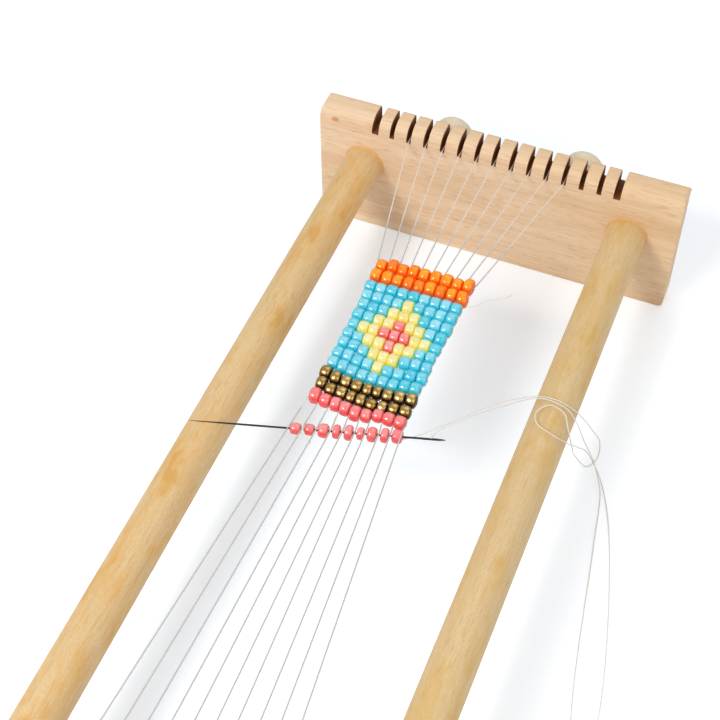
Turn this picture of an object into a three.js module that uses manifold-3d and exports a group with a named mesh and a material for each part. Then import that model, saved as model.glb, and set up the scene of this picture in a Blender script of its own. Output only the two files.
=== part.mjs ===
// A wooden bead loom with a piece of beadwork on it, in millimetres, +Z up. The origin is the middle
// of the footprint, on the table. Y runs along the loom, with the far end board at +Y.
import * as THREE from "three";
import { mergeVertices } from "three/addons/utils/BufferGeometryUtils.js";
import Module from "manifold-3d";

const wasm = await Module();
wasm.setup();

// End boards: two like pieces, the near one turned half round
const boardWidth = 115.4;
const boardThickness = 9;
const boardHeight = 44.5;
const boardCornerRadius = 1.5;
const boardEdgeChamfer = 1.1;
const toothRadius = 4.5;
const clearLength = 240;

// The comb sawn into the top of each board
const slotCount = 15;
const slotPitch = 5.5;
const slotWidth = 1.4;
const outerSlotWidth = 2.1;
const slotDepth = 4.9;
const combOffset = 0.7;

// Dowel rails, glued into blind sockets
const dowelDiameter = 12;
const dowelSpacing = 85.4;
const railHeight = 27;
const dowelTenonLength = 6.5;
const glueGap = 0.1;
const socketEndGap = 0.3;

// Turned pegs on the outer faces, which hold the ends of the warps
const pegSpacing = 43.2;
const pegOffset = 1.1;
const pegHeight = 28;
const pegTenonDiameter = 6;
const pegTenonLength = 6.5;
const pegStemDiameter = 7;
const pegStemLength = 10;
const pegHeadDiameter = 12.6;
const pegHeadLength = 6;

// Threads
const threadDiameter = 0.35;
const threadSeatGap = 0.1;
const windingPitch = 0.8;
const windingSpacing = 1.8;
const windingStart = 0.5;

// The weaving: rows of beads, each on a weft that passes above and below every warp
const beadsInRow = 9;
const firstRowFromBoard = 50.7;
const rowGap = 0.12;
const firstRowCentre = -3.8;
const lastRowCentre = -3.95;
const firstColumnPitch = 3.2;
const lastColumnPitch = 2.98;
const rowBow = 1.2;
const lastStraightRow = 6;
const firstFullBowRow = 10;
const warpGap = 0.6;
const beadRounding = 0.8;
const weftThickness = 0.3;
const weftClearance = 0.06;
const orangeDiameter = 4.25;
const turquoiseDiameter = 3.65;
const bronzeDiameter = 3.9;
const pinkDiameter = 4.1;
const rowKinds = [
  { rows: 2, diameter: orangeDiameter, colour: 0xf2760d },
  { rows: 9, diameter: turquoiseDiameter, colour: 0x5cc3dc },
  { rows: 2, diameter: bronzeDiameter, colour: 0x7a5f33 },
  { rows: 1, diameter: pinkDiameter, colour: 0xf0646e },
];

// The needle under the warps, and the beads of the next row on it
const needleDiameter = 0.6;
const needleLength = 67.8;
const needleTaper = 14;
const needleAngle = 16.4;
const needleDrop = 0.8;
const needleFromLastRow = 3.95;
const needleShift = 0.85;
const needleBehindBeads = 11.2;
const eyeLength = 3.2;
const eyeWidth = 0.3;
const eyeFromEnd = 2.2;
const eyeSwell = 0.15;
const needleBeadBore = 1.5;
const needleBeadTurn = -10;
const needleBeadGap = 0.85;
const needleBeadLengths = [2.8, 2.65, 2.75, 2.0, 2.25, 1.9, 2.7, 2.15, 2.8];
const needleBeadDiameters = [3.0, 2.9, 3.6, 3.5, 3.9, 3.3, 3.8, 3.75, 3.75];

// Facets
const dowelSides = 24;
const pegSides = 14;
const rowBeadSides = 6;
const looseBeadSides = 8;
const needleSides = 8;
const windingSteps = 12;
const threadSides = 4;
const cordSides = 8;
const cordSteps = 80;
const arcSteps = 4;

// Sizes worked out from the values above
const innerFace = clearLength / 2;
const outerFace = innerFace + boardThickness;
const slotFloor = boardHeight - slotDepth;
const warpHeight = slotFloor + threadDiameter / 2 + threadSeatGap;
const warpCount = beadsInRow + 1;
const needleHeight = warpHeight - needleDrop;
const needleRadians = THREE.MathUtils.degToRad(needleAngle);
const beadTurnRadians = THREE.MathUtils.degToRad(needleAngle + needleBeadTurn);
const needleDirection = new THREE.Vector3(Math.cos(needleRadians), Math.sin(needleRadians), 0);

const wood = { color: 0xd9b48f, roughness: 0.6, metalness: 0 };
const dowelWood = { color: 0xd8b07a, roughness: 0.5, metalness: 0 };
const paleWood = { color: 0xeadfc6, roughness: 0.6, metalness: 0 };
const thread = { color: 0xe9e6df, roughness: 0.7, metalness: 0 };
const steel = { color: 0x4a4a4a, roughness: 0.3, metalness: 1 };
const pink = { color: 0xf0646e, roughness: 0.25, metalness: 0 };

const loom = new THREE.Group();

function addMesh(parent, name, geometry, finish) {
  const mesh = new THREE.Mesh(geometry, new THREE.MeshStandardMaterial(finish));
  mesh.name = name;
  parent.add(mesh);
  return mesh;
}

// A closed geometry as a solid that can be joined and cut
function toSolid(geometry) {
  const bare = geometry.clone();
  bare.deleteAttribute("normal");
  bare.deleteAttribute("uv");
  const merged = mergeVertices(bare, 1e-4);
  return new wasm.Manifold(
    new wasm.Mesh({
      numProp: 3,
      vertProperties: merged.attributes.position.array,
      triVerts: new Uint32Array(merged.index.array),
    }),
  );
}

function toGeometry(solid) {
  const mesh = solid.getMesh();
  const geometry = new THREE.BufferGeometry();
  geometry.setAttribute("position", new THREE.BufferAttribute(mesh.vertProperties, 3));
  geometry.setIndex(new THREE.BufferAttribute(mesh.triVerts, 1));
  geometry.computeVertexNormals();
  return geometry;
}

// A round rod along Y, from one end to the other, with its flats where its socket's flats are
function rodAlongY(diameter, sides, from, to, x, z) {
  const rod = new THREE.CylinderGeometry(diameter / 2, diameter / 2, to - from, sides);
  rod.translate(x, (from + to) / 2, z);
  return rod;
}

// The board seen from its end: an upright inner face, round tooth tops on the inside, a flat top
// and an eased outer edge
function boardProfile() {
  const shape = new THREE.Shape();
  shape.moveTo(0, 0);
  shape.lineTo(boardThickness, 0);
  shape.lineTo(boardThickness, boardHeight - boardEdgeChamfer);
  shape.lineTo(boardThickness - boardEdgeChamfer, boardHeight);
  shape.lineTo(toothRadius, boardHeight);
  shape.absarc(toothRadius, boardHeight - toothRadius, toothRadius, Math.PI / 2, Math.PI);
  shape.lineTo(0, 0);
  return shape;
}

// The board seen from the front: a rectangle with eased corners
function boardFront() {
  const half = boardWidth / 2;
  const r = boardCornerRadius;
  const shape = new THREE.Shape();
  shape.moveTo(-half + r, 0);
  shape.lineTo(half - r, 0);
  shape.absarc(half - r, r, r, -Math.PI / 2, 0);
  shape.lineTo(half, boardHeight - r);
  shape.absarc(half - r, boardHeight - r, r, 0, Math.PI / 2);
  shape.lineTo(-half + r, boardHeight);
  shape.absarc(-half + r, boardHeight - r, r, Math.PI / 2, Math.PI);
  shape.lineTo(-half, r);
  shape.absarc(-half + r, r, r, Math.PI, 1.5 * Math.PI);
  return shape;
}

// Where a peg stands in the far board, on the left (-1) or the right (1)
function pegX(side) {
  return (side * pegSpacing) / 2 + pegOffset;
}

function slotX(index) {
  return (index - (slotCount - 1) / 2) * slotPitch - combOffset;
}

// One end board in the far board's place
function endBoard() {
  const side = new THREE.ExtrudeGeometry(boardProfile(), {
    depth: boardWidth,
    bevelEnabled: false,
    curveSegments: arcSteps,
  });
  // The profile's x becomes Y, its y becomes Z and its depth becomes X
  side.rotateX(Math.PI / 2);
  side.rotateZ(Math.PI / 2);
  side.translate(-boardWidth / 2, innerFace, 0);
  const front = new THREE.ExtrudeGeometry(boardFront(), {
    depth: 3 * boardThickness,
    bevelEnabled: false,
    curveSegments: 2,
  });
  front.rotateX(Math.PI / 2);
  front.translate(0, outerFace + boardThickness, 0);
  let board = toSolid(side).intersect(toSolid(front));
  for (let i = 0; i < slotCount; i += 1) {
    const isOuter = i === 0 || i === slotCount - 1;
    const width = isOuter ? outerSlotWidth : slotWidth;
    const slot = new THREE.BoxGeometry(width, 2 * boardThickness, 2 * slotDepth);
    slot.translate(slotX(i), (innerFace + outerFace) / 2, boardHeight);
    board = board.subtract(toSolid(slot));
  }
  for (const side of [-1, 1]) {
    const socket = rodAlongY(
      dowelDiameter + 2 * glueGap,
      dowelSides,
      innerFace - boardThickness,
      innerFace + dowelTenonLength + socketEndGap,
      (side * dowelSpacing) / 2,
      railHeight,
    );
    const hole = rodAlongY(
      pegTenonDiameter + 2 * glueGap,
      pegSides,
      outerFace - pegTenonLength - socketEndGap,
      outerFace + boardThickness,
      pegX(side),
      pegHeight,
    );
    board = board.subtract(toSolid(socket)).subtract(toSolid(hole));
  }
  return toGeometry(board);
}

// A peg standing out along +Y from y = 0: tenon, stem and a domed head
function pegGeometry() {
  const tenon = pegTenonDiameter / 2;
  const stem = pegStemDiameter / 2;
  const head = pegHeadDiameter / 2;
  const end = pegStemLength + pegHeadLength;
  const profile = [
    new THREE.Vector2(0, -pegTenonLength),
    new THREE.Vector2(tenon, -pegTenonLength),
    new THREE.Vector2(tenon, socketEndGap),
    new THREE.Vector2(stem, socketEndGap),
    new THREE.Vector2(stem, pegStemLength),
    new THREE.Vector2(0.8 * head, pegStemLength + 0.08 * pegHeadLength),
    new THREE.Vector2(head, pegStemLength + 0.4 * pegHeadLength),
    new THREE.Vector2(0.94 * head, pegStemLength + 0.66 * pegHeadLength),
    new THREE.Vector2(0.62 * head, pegStemLength + 0.92 * pegHeadLength),
    new THREE.Vector2(0, end),
  ];
  return new THREE.LatheGeometry(profile, pegSides);
}

// Each row from the far board on: the place of its ends, its bow and its bead diameter. The middle
// of a lower row sags towards the near board.
function layOutRows() {
  const rows = [];
  let y = innerFace - firstRowFromBoard;
  for (const kind of rowKinds) {
    for (let i = 0; i < kind.rows; i += 1) {
      const last = rows[rows.length - 1];
      if (last) y -= (last.diameter + kind.diameter) / 2 + rowGap;
      const place = rows.length + 1;
      const bowed = (place - lastStraightRow) / (firstFullBowRow - lastStraightRow);
      const bow = rowBow * THREE.MathUtils.clamp(bowed, 0, 1);
      rows.push({ y, bow, diameter: kind.diameter, colour: kind.colour });
    }
  }
  return rows;
}

const rows = layOutRows();
const firstRowY = rows[0].y;
const lastRowY = rows[rows.length - 1].y;
const weaveStartY = firstRowY + rows[0].diameter / 2;
const weaveEndY = lastRowY - rows[rows.length - 1].diameter / 2;

// The weaving narrows and leans a little from its first row to its last
function columnPitch(y) {
  return THREE.MathUtils.mapLinear(y, firstRowY, lastRowY, firstColumnPitch, lastColumnPitch);
}

function weaveCentre(y) {
  return THREE.MathUtils.mapLinear(y, firstRowY, lastRowY, firstRowCentre, lastRowCentre);
}

function wovenWarpX(warp, y) {
  return weaveCentre(y) + (warp - (warpCount - 1) / 2) * columnPitch(y);
}

// A bead along X, barrel shaped, whose round ends leave a flat face. A bore makes it a ring.
function beadGeometry(length, diameter, bore, sides) {
  const half = length / 2;
  const outer = diameter / 2;
  const rounding = Math.min(beadRounding, (outer - bore / 2) / 2);
  const face = outer - rounding;
  const round = Math.min(rounding, 0.45 * half);
  const profile = [
    new THREE.Vector2(bore / 2, -half),
    new THREE.Vector2(face, -half),
    new THREE.Vector2(outer, -half + round),
    new THREE.Vector2(outer, half - round),
    new THREE.Vector2(face, half),
    new THREE.Vector2(bore / 2, half),
  ];
  if (bore > 0) profile.push(profile[0].clone());
  const bead = new THREE.LatheGeometry(profile, sides);
  bead.rotateY(Math.PI / 2);
  bead.rotateZ(-Math.PI / 2);
  return bead;
}

// A bead's place along the loom in a row, 0 being the first of the row
function beadY(row, bead) {
  const fromMiddle = (2 * bead) / (beadsInRow - 1) - 1;
  return row.y - row.bow * (1 - fromMiddle * fromMiddle);
}

// One woven row: nine beads on the two passes of their weft, above and below the warps
function rowGeometry(row) {
  const pitch = columnPitch(row.y);
  const left = weaveCentre(row.y) - ((beadsInRow - 1) / 2) * pitch;
  const length = pitch - warpGap;
  const weftOffset = threadDiameter / 2 + weftClearance + weftThickness / 2;
  const bead = beadGeometry(length, row.diameter, 0, rowBeadSides);
  const parts = [];
  for (let i = 0; i < beadsInRow; i += 1) {
    const x = left + i * pitch;
    parts.push(toSolid(bead.clone().translate(x, beadY(row, i), warpHeight)));
    if (i === beadsInRow - 1) continue;
    for (const pass of [-1, 1]) {
      const weft = new THREE.BoxGeometry(warpGap + length / 4, weftThickness, weftThickness);
      const y = (beadY(row, i) + beadY(row, i + 1)) / 2;
      weft.translate(x + pitch / 2, y, warpHeight + pass * weftOffset);
      parts.push(toSolid(weft));
    }
  }
  return toGeometry(parts.reduce((whole, part) => whole.add(part)));
}

// A thread of flat sides along a line of points, with closed ends
function threadGeometry(points, diameter, sides) {
  const positions = [];
  const indices = [];
  const tangents = points.map((p, i) => {
    const before = points[Math.max(i - 1, 0)];
    const after = points[Math.min(i + 1, points.length - 1)];
    const into = p.clone().sub(before).normalize();
    const out = after.clone().sub(p).normalize();
    return into.add(out).normalize();
  });
  const side = new THREE.Vector3(0, 0, 1).cross(tangents[0]);
  if (side.length() < 1e-3) side.set(1, 0, 0);
  side.normalize();
  points.forEach((p, i) => {
    side.addScaledVector(tangents[i], -side.dot(tangents[i])).normalize();
    const up = tangents[i].clone().cross(side);
    for (let k = 0; k < sides; k += 1) {
      const angle = (2 * Math.PI * (k + 0.5)) / sides;
      const corner = p.clone();
      corner.addScaledVector(side, (Math.cos(angle) * diameter) / 2);
      corner.addScaledVector(up, (Math.sin(angle) * diameter) / 2);
      positions.push(corner.x, corner.y, corner.z);
    }
  });
  for (let i = 0; i < points.length - 1; i += 1) {
    for (let k = 0; k < sides; k += 1) {
      const a = i * sides + k;
      const b = i * sides + ((k + 1) % sides);
      indices.push(a, b, a + sides, b, b + sides, a + sides);
    }
  }
  const lastRing = (points.length - 1) * sides;
  for (let k = 1; k < sides - 1; k += 1) {
    indices.push(0, k + 1, k);
    indices.push(lastRing, lastRing + k, lastRing + k + 1);
  }
  const geometry = new THREE.BufferGeometry();
  geometry.setAttribute("position", new THREE.Float32BufferAttribute(positions, 3));
  geometry.setIndex(indices);
  geometry.computeVertexNormals();
  return geometry;
}

// The thread from its winding on a far peg to the inside of the far board. A turn runs from the
// peg's loose end to where the thread leaves the stem on a tangent, and goes up over the slot's edge.
function warpEnd(slot, peg, order) {
  const edge = new THREE.Vector2(slot, slotFloor);
  const onStem = pegStemDiameter / 2 + threadDiameter / 2 + threadSeatGap;
  const radius = onStem / Math.cos(Math.PI / windingSteps);
  const toEdge = edge.clone().sub(new THREE.Vector2(peg, pegHeight));
  const leaving = toEdge.angle() - Math.acos(radius / toEdge.length());
  const turnY = outerFace + windingStart + order * windingSpacing;
  const points = [];
  for (let i = windingSteps; i >= 0; i -= 1) {
    const part = i / windingSteps;
    const angle = leaving - part * 2 * Math.PI;
    points.push(
      new THREE.Vector3(
        peg + radius * Math.cos(angle),
        turnY + part * windingPitch,
        pegHeight + radius * Math.sin(angle),
      ),
    );
  }
  const seat = warpHeight - slotFloor;
  for (const angle of [0, Math.PI / 4, Math.PI / 2]) {
    const y = outerFace + seat * Math.cos(angle);
    points.push(new THREE.Vector3(slot, y, slotFloor + seat * Math.sin(angle)));
  }
  points.push(new THREE.Vector3(slot, innerFace, warpHeight));
  return points;
}

// The least gap between the turns of one winding, measured on its points
function leastGap(points) {
  let least = Infinity;
  const turn = points.slice(0, windingSteps + 2);
  turn.forEach((a, i) => {
    turn.slice(i + Math.floor(windingSteps / 2)).forEach((b) => {
      least = Math.min(least, a.distanceTo(b) - threadDiameter);
    });
  });
  return least;
}

// Turns a point of the far half into its place on the near board, which is turned half round
function turnHalfRound(point) {
  return new THREE.Vector3(-point.x, -point.y, point.z);
}

// The needle lies across the loom, close to the last row at its last bead
const lastColumnX = weaveCentre(lastRowY) + ((beadsInRow - 1) / 2) * lastColumnPitch;
const needleBeadAt = new THREE.Vector3(
  lastColumnX + needleShift,
  lastRowY - needleFromLastRow,
  needleHeight,
);

// Each needle bead's place along the needle, counted back from the last bead
function layOutNeedleBeads() {
  const places = [];
  let along = 0;
  for (let i = beadsInRow - 1; i >= 0; i -= 1) {
    if (i < beadsInRow - 1) {
      along -= (needleBeadLengths[i] + needleBeadLengths[i + 1]) / 2 + needleBeadGap;
    }
    places[i] = along;
  }
  return places;
}

const needleBeadPlaces = layOutNeedleBeads();

function onNeedle(along) {
  return needleBeadAt.clone().addScaledVector(needleDirection, along);
}

// Where a warp crosses the needle: in the gap left of its bead, or lifted over the last bead
function warpAtNeedle(warp, fromX, fromY, toX) {
  if (warp < beadsInRow) {
    const gap = needleBeadPlaces[warp] - (needleBeadLengths[warp] + needleBeadGap) / 2;
    const crossing = onNeedle(gap);
    return [
      new THREE.Vector3(wovenWarpX(warp, weaveEndY), weaveEndY, warpHeight),
      new THREE.Vector3(crossing.x, crossing.y, warpHeight),
    ];
  }
  const radius = needleBeadDiameters[beadsInRow - 1] / 2 + threadDiameter / 2 + threadSeatGap;
  const centre = needleBeadAt;
  const from = new THREE.Vector2(fromY - centre.y, warpHeight - centre.z);
  const first = from.angle() + Math.acos(radius / from.length());
  const points = [new THREE.Vector3(fromX, fromY, warpHeight)];
  for (const part of [0, 0.5, 1]) {
    const angle = THREE.MathUtils.lerp(first, Math.PI / 2, part);
    const y = centre.y + radius * Math.cos(angle);
    const x = THREE.MathUtils.mapLinear(y, fromY, -innerFace, fromX, toX);
    points.push(new THREE.Vector3(x, y, centre.z + radius * Math.sin(angle)));
  }
  return points;
}

// Warp threads: from the far peg through its slot, the weaving, the near slot and round the near peg
let windingGap = Infinity;
for (let warp = 0; warp < warpCount; warp += 1) {
  const half = warpCount / 2;
  const side = warp < half ? -1 : 1;
  const firstSlot = (slotCount - warpCount - 1) / 2;
  const farSlot = slotX(warp + firstSlot);
  const nearSlot = slotX(warpCount - 1 - warp + firstSlot + 1);
  const far = warpEnd(farSlot, pegX(side), warp % half);
  const near = warpEnd(nearSlot, pegX(-side), half - 1 - (warp % half)).map(turnHalfRound).reverse();
  const lastX = wovenWarpX(warp, lastRowY);
  const points = [
    ...far,
    new THREE.Vector3(wovenWarpX(warp, weaveStartY), weaveStartY, warpHeight),
    ...warpAtNeedle(warp, lastX, lastRowY, near[0].x),
    ...near,
  ];
  windingGap = Math.min(windingGap, leastGap(far));
  const name = `warp_${String(warp + 1).padStart(2, "0")}`;
  addMesh(loom, name, threadGeometry(points, threadDiameter, threadSides), thread);
}
console.log(`warp windings: least gap between turns ${windingGap.toFixed(2)} mm`);

// Boards, dowels and pegs
const boardGeometry = endBoard();
addMesh(loom, "end_board_far", boardGeometry, wood);
addMesh(loom, "end_board_near", boardGeometry.clone(), wood).rotation.z = Math.PI;
for (const [sideName, side] of [["left", -1], ["right", 1]]) {
  const reach = innerFace + dowelTenonLength;
  const x = (side * dowelSpacing) / 2;
  const dowel = rodAlongY(dowelDiameter, dowelSides, -reach, reach, x, railHeight);
  addMesh(loom, `dowel_${sideName}`, dowel, dowelWood);
  const farPeg = addMesh(loom, `peg_far_${sideName}`, pegGeometry(), paleWood);
  farPeg.position.set(pegX(side), outerFace, pegHeight);
  const nearPeg = addMesh(loom, `peg_near_${sideName}`, pegGeometry(), paleWood);
  nearPeg.position.set(-pegX(-side), -outerFace, pegHeight);
  nearPeg.rotation.z = Math.PI;
}

// The woven rows
rows.forEach((row, i) => {
  const name = `bead_row_${String(i + 1).padStart(2, "0")}`;
  addMesh(loom, name, rowGeometry(row), { color: row.colour, roughness: 0.25, metalness: 0 });
});

// The needle along X with its eye at the right: a round shaft that tapers to the point, a flat swell
// round the eye and the eye cut through from above
function needleGeometry() {
  const r = needleDiameter / 2;
  const profile = [
    new THREE.Vector2(0, 0),
    new THREE.Vector2(0.25 * r, 0.2),
    new THREE.Vector2(r, needleTaper),
    new THREE.Vector2(r, needleLength - r),
    new THREE.Vector2(0.6 * r, needleLength - 0.2 * r),
    new THREE.Vector2(0, needleLength),
  ];
  const shaft = new THREE.LatheGeometry(profile, needleSides);
  shaft.rotateZ(-Math.PI / 2);
  const middle = needleLength - eyeFromEnd - eyeLength / 2;
  const swell = new THREE.SphereGeometry(1, needleSides, 6);
  swell.rotateX(Math.PI / 2);
  swell.scale(eyeLength / 2 + 1, r + eyeSwell, 0.95 * r);
  swell.translate(middle, 0, 0);
  const eye = new THREE.Shape();
  const half = eyeWidth / 2;
  eye.absarc(eyeLength / 2 - half, 0, half, -Math.PI / 2, Math.PI / 2);
  eye.absarc(-eyeLength / 2 + half, 0, half, Math.PI / 2, 1.5 * Math.PI);
  const cut = new THREE.ExtrudeGeometry(eye, {
    depth: 4 * needleDiameter,
    bevelEnabled: false,
    curveSegments: 3,
  });
  cut.translate(middle, 0, -2 * needleDiameter);
  return toGeometry(toSolid(shaft).add(toSolid(swell)).subtract(toSolid(cut)));
}

const needle = addMesh(loom, "needle", needleGeometry(), steel);
needle.position.copy(onNeedle(needleBehindBeads + needleBeadLengths[beadsInRow - 1] / 2 - needleLength));
needle.rotation.z = needleRadians;

// The loose beads on the needle, each turned a little towards the warps it lies between
for (let i = 0; i < beadsInRow; i += 1) {
  const size = [needleBeadLengths[i], needleBeadDiameters[i], needleBeadBore];
  const geometry = beadGeometry(...size, looseBeadSides);
  const bead = addMesh(loom, `needle_bead_${i + 1}`, geometry, pink);
  bead.position.copy(onNeedle(needleBeadPlaces[i]));
  bead.rotation.z = beadTurnRadians;
}

// Points measured from where a piece lies
function from(place, points) {
  return points.map(([x, y, z]) => [place.x + x, place.y + y, place.z + z]);
}

// The working thread: out of the last bead under the needle, over the right dowel, in loose loops
// beside it, along the table, and back over the dowel to the needle's eye
const dowelPlace = new THREE.Vector3(dowelSpacing / 2, needleBeadAt.y, railHeight);
const tablePlace = new THREE.Vector3(dowelSpacing / 2, needleBeadAt.y, 0);
const workingRoute = [
  ...from(needleBeadAt, [
    [1.6, 0.2, -0.56], [4.6, 2.9, -0.88], [11.7, 11.1, -1.01], [19.5, 20.8, -1.93], [24.6, 26.7, -3.88],
  ]),
  ...from(dowelPlace, [[-4.2, 30.5, 6.9], [0.8, 31.1, 6.75], [5.2, 31.1, 4.8]]),
  ...from(tablePlace, [
    [7.5, 35.3, 24.0], [9.5, 43.8, 9.0], [11.9, 46.5, 1.1],
    [12.8, 41.5, 0.6], [11.0, 36.9, 1.0], [7.6, 32.9, 9.5],
  ]),
  ...from(dowelPlace, [
    [7.1, 26.0, -4.0], [5.6, 24.8, 4.1], [3.1, 27.9, 6.6], [-1.2, 28.4, 7.1],
    [-3.8, 25.5, 6.2], [-2.5, 21.9, 6.5], [1.8, 19.8, 6.7], [6.2, 20.9, 3.4],
  ]),
  ...from(tablePlace, [
    [8.2, 29.8, 18.0], [10.7, 39.1, 3.2], [15.5, 34.3, 0.8], [22.9, 17.8, 0.3],
    [35.7, -38.7, 0.3], [34.3, -50.7, 0.3], [29.9, -41.7, 0.3], [19.9, 13.3, 0.3],
    [16.7, 30.1, 0.8], [12.7, 36.7, 3.6], [9.1, 34.6, 15.0],
  ]),
  ...from(dowelPlace, [[6.2, 29.2, 3.4], [3.2, 29.2, 7.1], [-3.7, 29.2, 7.9]]),
  ...from(needleBeadAt, [[21.4, 20.2, -1.33], [15.4, 13.7, -0.36], [8.8, 6.0, 0.33], [8.4, 2.6, 0.67]]),
];

// The short ends of the weft: the cut tail at the right edge, and the end that leads round the left
// edge, over the needle and under the third warp
const firstRowPlace = new THREE.Vector3(firstRowCentre, firstRowY, warpHeight);
const lastRowPlace = new THREE.Vector3(lastRowCentre, lastRowY, warpHeight);
const tailRoute = from(firstRowPlace, [
  [15.2, -6.2, 0.02], [17.0, -4.9, 0.23], [19.0, -2.2, 0.12], [22.3, 0.1, -0.08], [24.9, 3.0, -0.27],
]);
const endRoute = from(lastRowPlace, [
  [-13.6, -2.0, 0.48], [-13.6, -4.9, 0.62], [-12.5, -8.0, 1.02], [-11.4, -10.1, 1.23],
  [-10.1, -12.6, 0.83], [-8.8, -13.7, 0.12], [-7.3, -14.5, -0.58],
]);

function cordGeometry(route, sides, steps) {
  const section = new THREE.Shape();
  for (let i = 0; i < sides; i += 1) {
    const angle = (2 * Math.PI * i) / sides;
    const x = (Math.cos(angle) * threadDiameter) / 2;
    const y = (Math.sin(angle) * threadDiameter) / 2;
    if (i === 0) section.moveTo(x, y);
    else section.lineTo(x, y);
  }
  const points = route.map((point) => new THREE.Vector3(...point));
  const path = new THREE.CatmullRomCurve3(points, false, "centripetal");
  return new THREE.ExtrudeGeometry(section, { steps, extrudePath: path, bevelEnabled: false });
}

addMesh(loom, "working_thread", cordGeometry(workingRoute, cordSides, cordSteps), thread);
addMesh(loom, "weft_tail", cordGeometry(tailRoute, threadSides, 10), thread);
addMesh(loom, "weft_end", cordGeometry(endRoute, threadSides, 12), thread);

export default loom;
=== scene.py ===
import bmesh
import bpy
import numpy as np
from mathutils import Matrix


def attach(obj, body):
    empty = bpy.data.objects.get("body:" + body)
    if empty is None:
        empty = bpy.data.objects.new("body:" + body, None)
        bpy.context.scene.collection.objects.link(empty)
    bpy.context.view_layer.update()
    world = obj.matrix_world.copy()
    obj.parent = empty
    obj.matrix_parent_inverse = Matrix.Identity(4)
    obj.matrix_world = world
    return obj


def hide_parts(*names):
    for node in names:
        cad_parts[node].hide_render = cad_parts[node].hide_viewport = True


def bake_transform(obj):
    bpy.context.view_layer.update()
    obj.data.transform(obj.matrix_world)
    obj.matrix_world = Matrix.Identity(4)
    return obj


# A wooden bead loom with a strip of beadwork on it. Sizes are in millimetres, +Z up, with the origin
# in the middle of the footprint and Y along the loom. Meshes are written in metres.
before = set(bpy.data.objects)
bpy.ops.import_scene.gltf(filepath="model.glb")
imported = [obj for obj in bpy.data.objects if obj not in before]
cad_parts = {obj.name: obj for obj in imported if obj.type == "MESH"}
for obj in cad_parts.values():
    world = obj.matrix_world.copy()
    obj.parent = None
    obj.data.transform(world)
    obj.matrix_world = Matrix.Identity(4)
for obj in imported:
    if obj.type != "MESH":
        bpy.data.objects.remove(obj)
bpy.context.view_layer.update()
scene = bpy.context.scene
MM = 0.001

# End boards and their combs
BOARD_WIDTH = 115.4
BOARD_THICKNESS = 9.0
BOARD_HEIGHT = 44.5
CORNER_RADIUS = 1.5
EDGE_ROUND = 1.8
TOOTH_RADIUS = 4.5
INNER_FACE = 120.0
OUTER_FACE = INNER_FACE + BOARD_THICKNESS
SLOT_COUNT = 15
SLOT_PITCH = 5.5
SLOT_WIDTH = 1.4
OUTER_SLOT_WIDTH = 2.1
SLOT_DEPTH = 4.9
COMB_OFFSET = 0.7
SLOT_FLOOR = BOARD_HEIGHT - SLOT_DEPTH
EASED_EDGE = 0.15
KNOT_PLACE = (-52.5, INNER_FACE, 41.2)
KNOT_RADIUS = 1.1

# Dowel rails and pegs, with -1 for the left and 1 for the right
DOWEL_RADIUS = 6.0
DOWEL_SIDES = 64
DOWEL_X = 42.7
RAIL_HEIGHT = 27.0
TENON = 6.5
EASED_TENON = 0.6
GLUE_GAP = 0.02
FILLET_REACH = 0.9
FILLET_RISE = 0.45
SOCKET_END_GAP = 0.3
CUT_PAST = 5.0
PEG_X = {-1: -20.5, 1: 22.7}
PEG_HEIGHT = 28.0
PEG_SIDES = 48
PEG_TENON_RADIUS = 3.0
PEG_STEM_RADIUS = 3.5
PEG_STEM_LENGTH = 10.0
PEG_COVE = 0.7
PEG_HEAD_RADIUS = 6.3
PEG_HEAD_LENGTH = 6.0
PEG_BRIM_LENGTH = 0.4 * PEG_HEAD_LENGTH
PEG_BRIM_ROUND = 1.5
PEG_DOME_POWER = 2.3

# Threads
THREAD_RADIUS = 0.15
THREAD_SIDES = 8
WARP_RADIUS = 0.2
SEAT = 0.275
WINDING_PITCH = 0.8
WINDING_SPACING = 1.8
WINDING_START = 0.5
WARP_HEIGHT = SLOT_FLOOR + SEAT
WARPS = 10
WARPS_ON_PEG = 5
FIRST_SLOT = {"far": 2, "near": 3}
WEFT_RADIUS = 0.11
WEFT_OFFSET = 0.3
WEFT_REACH = 0.26

# The weaving, row by row from the far board. Rows of one colour lie a fixed step apart, and their
# beads have one diameter.
BEADS = 9
ROW_COLOURS = ["orange"] * 2 + ["turquoise"] * 9 + ["bronze"] * 2 + ["pink"]
ROWS = len(ROW_COLOURS)
ROW_STEP = {"orange": 4.6, "turquoise": 3.85, "bronze": 4.15, "pink": 3.5}
ROW_DIAMETER = {"orange": 4.4, "turquoise": 3.75, "bronze": 4.0, "pink": 4.1}
ROW_LOOSENESS = {"orange": 1.25, "bronze": 1.8}
FIRST_ROW_Y = 69.5
ROW_CENTRE = -3.9
FIRST_PITCH = 3.2
LAST_PITCH = 3.0
FIRST_SLOPE = 0.12
LAST_SLOPE = -0.05
ROW_BOW = 0.077
BEAD_SCATTER = 0.18
# How far beads fill the room between the rows, and the least and greatest share of their diameter
FULLNESS = 1.04
TIGHTEST_FIT = 1.03
THINNEST = 0.94
THICKEST = 1.16
# The last row's beads at the right stay this far back, clear of the loose beads on the needle
LOOSE_BEADS_CLEAR = 18.5
BEAD_GAP = 0.08
PRESSED_WARP_RADIUS = 0.04
BORE = 1.3
BEAD_SIDES = 20
# How round a bead's outline is, from 0 for square to 1 for round
ROUNDNESS = {"orange": 0.68, "turquoise": 0.55, "yellow": 0.55, "coral": 0.55, "bronze": 0.72,
             "pink": 0.7}
SCATTER_SEED = 7
ROW_SEED = 100
LOOSE_BEAD_SEED = 300
# The diamond's middle bead, and how far the diamond and the cross in it reach
DIAMOND_COLUMN = 4
DIAMOND_ROW = 6
DIAMOND_REACH = 3
CROSS_REACH = 1

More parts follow.
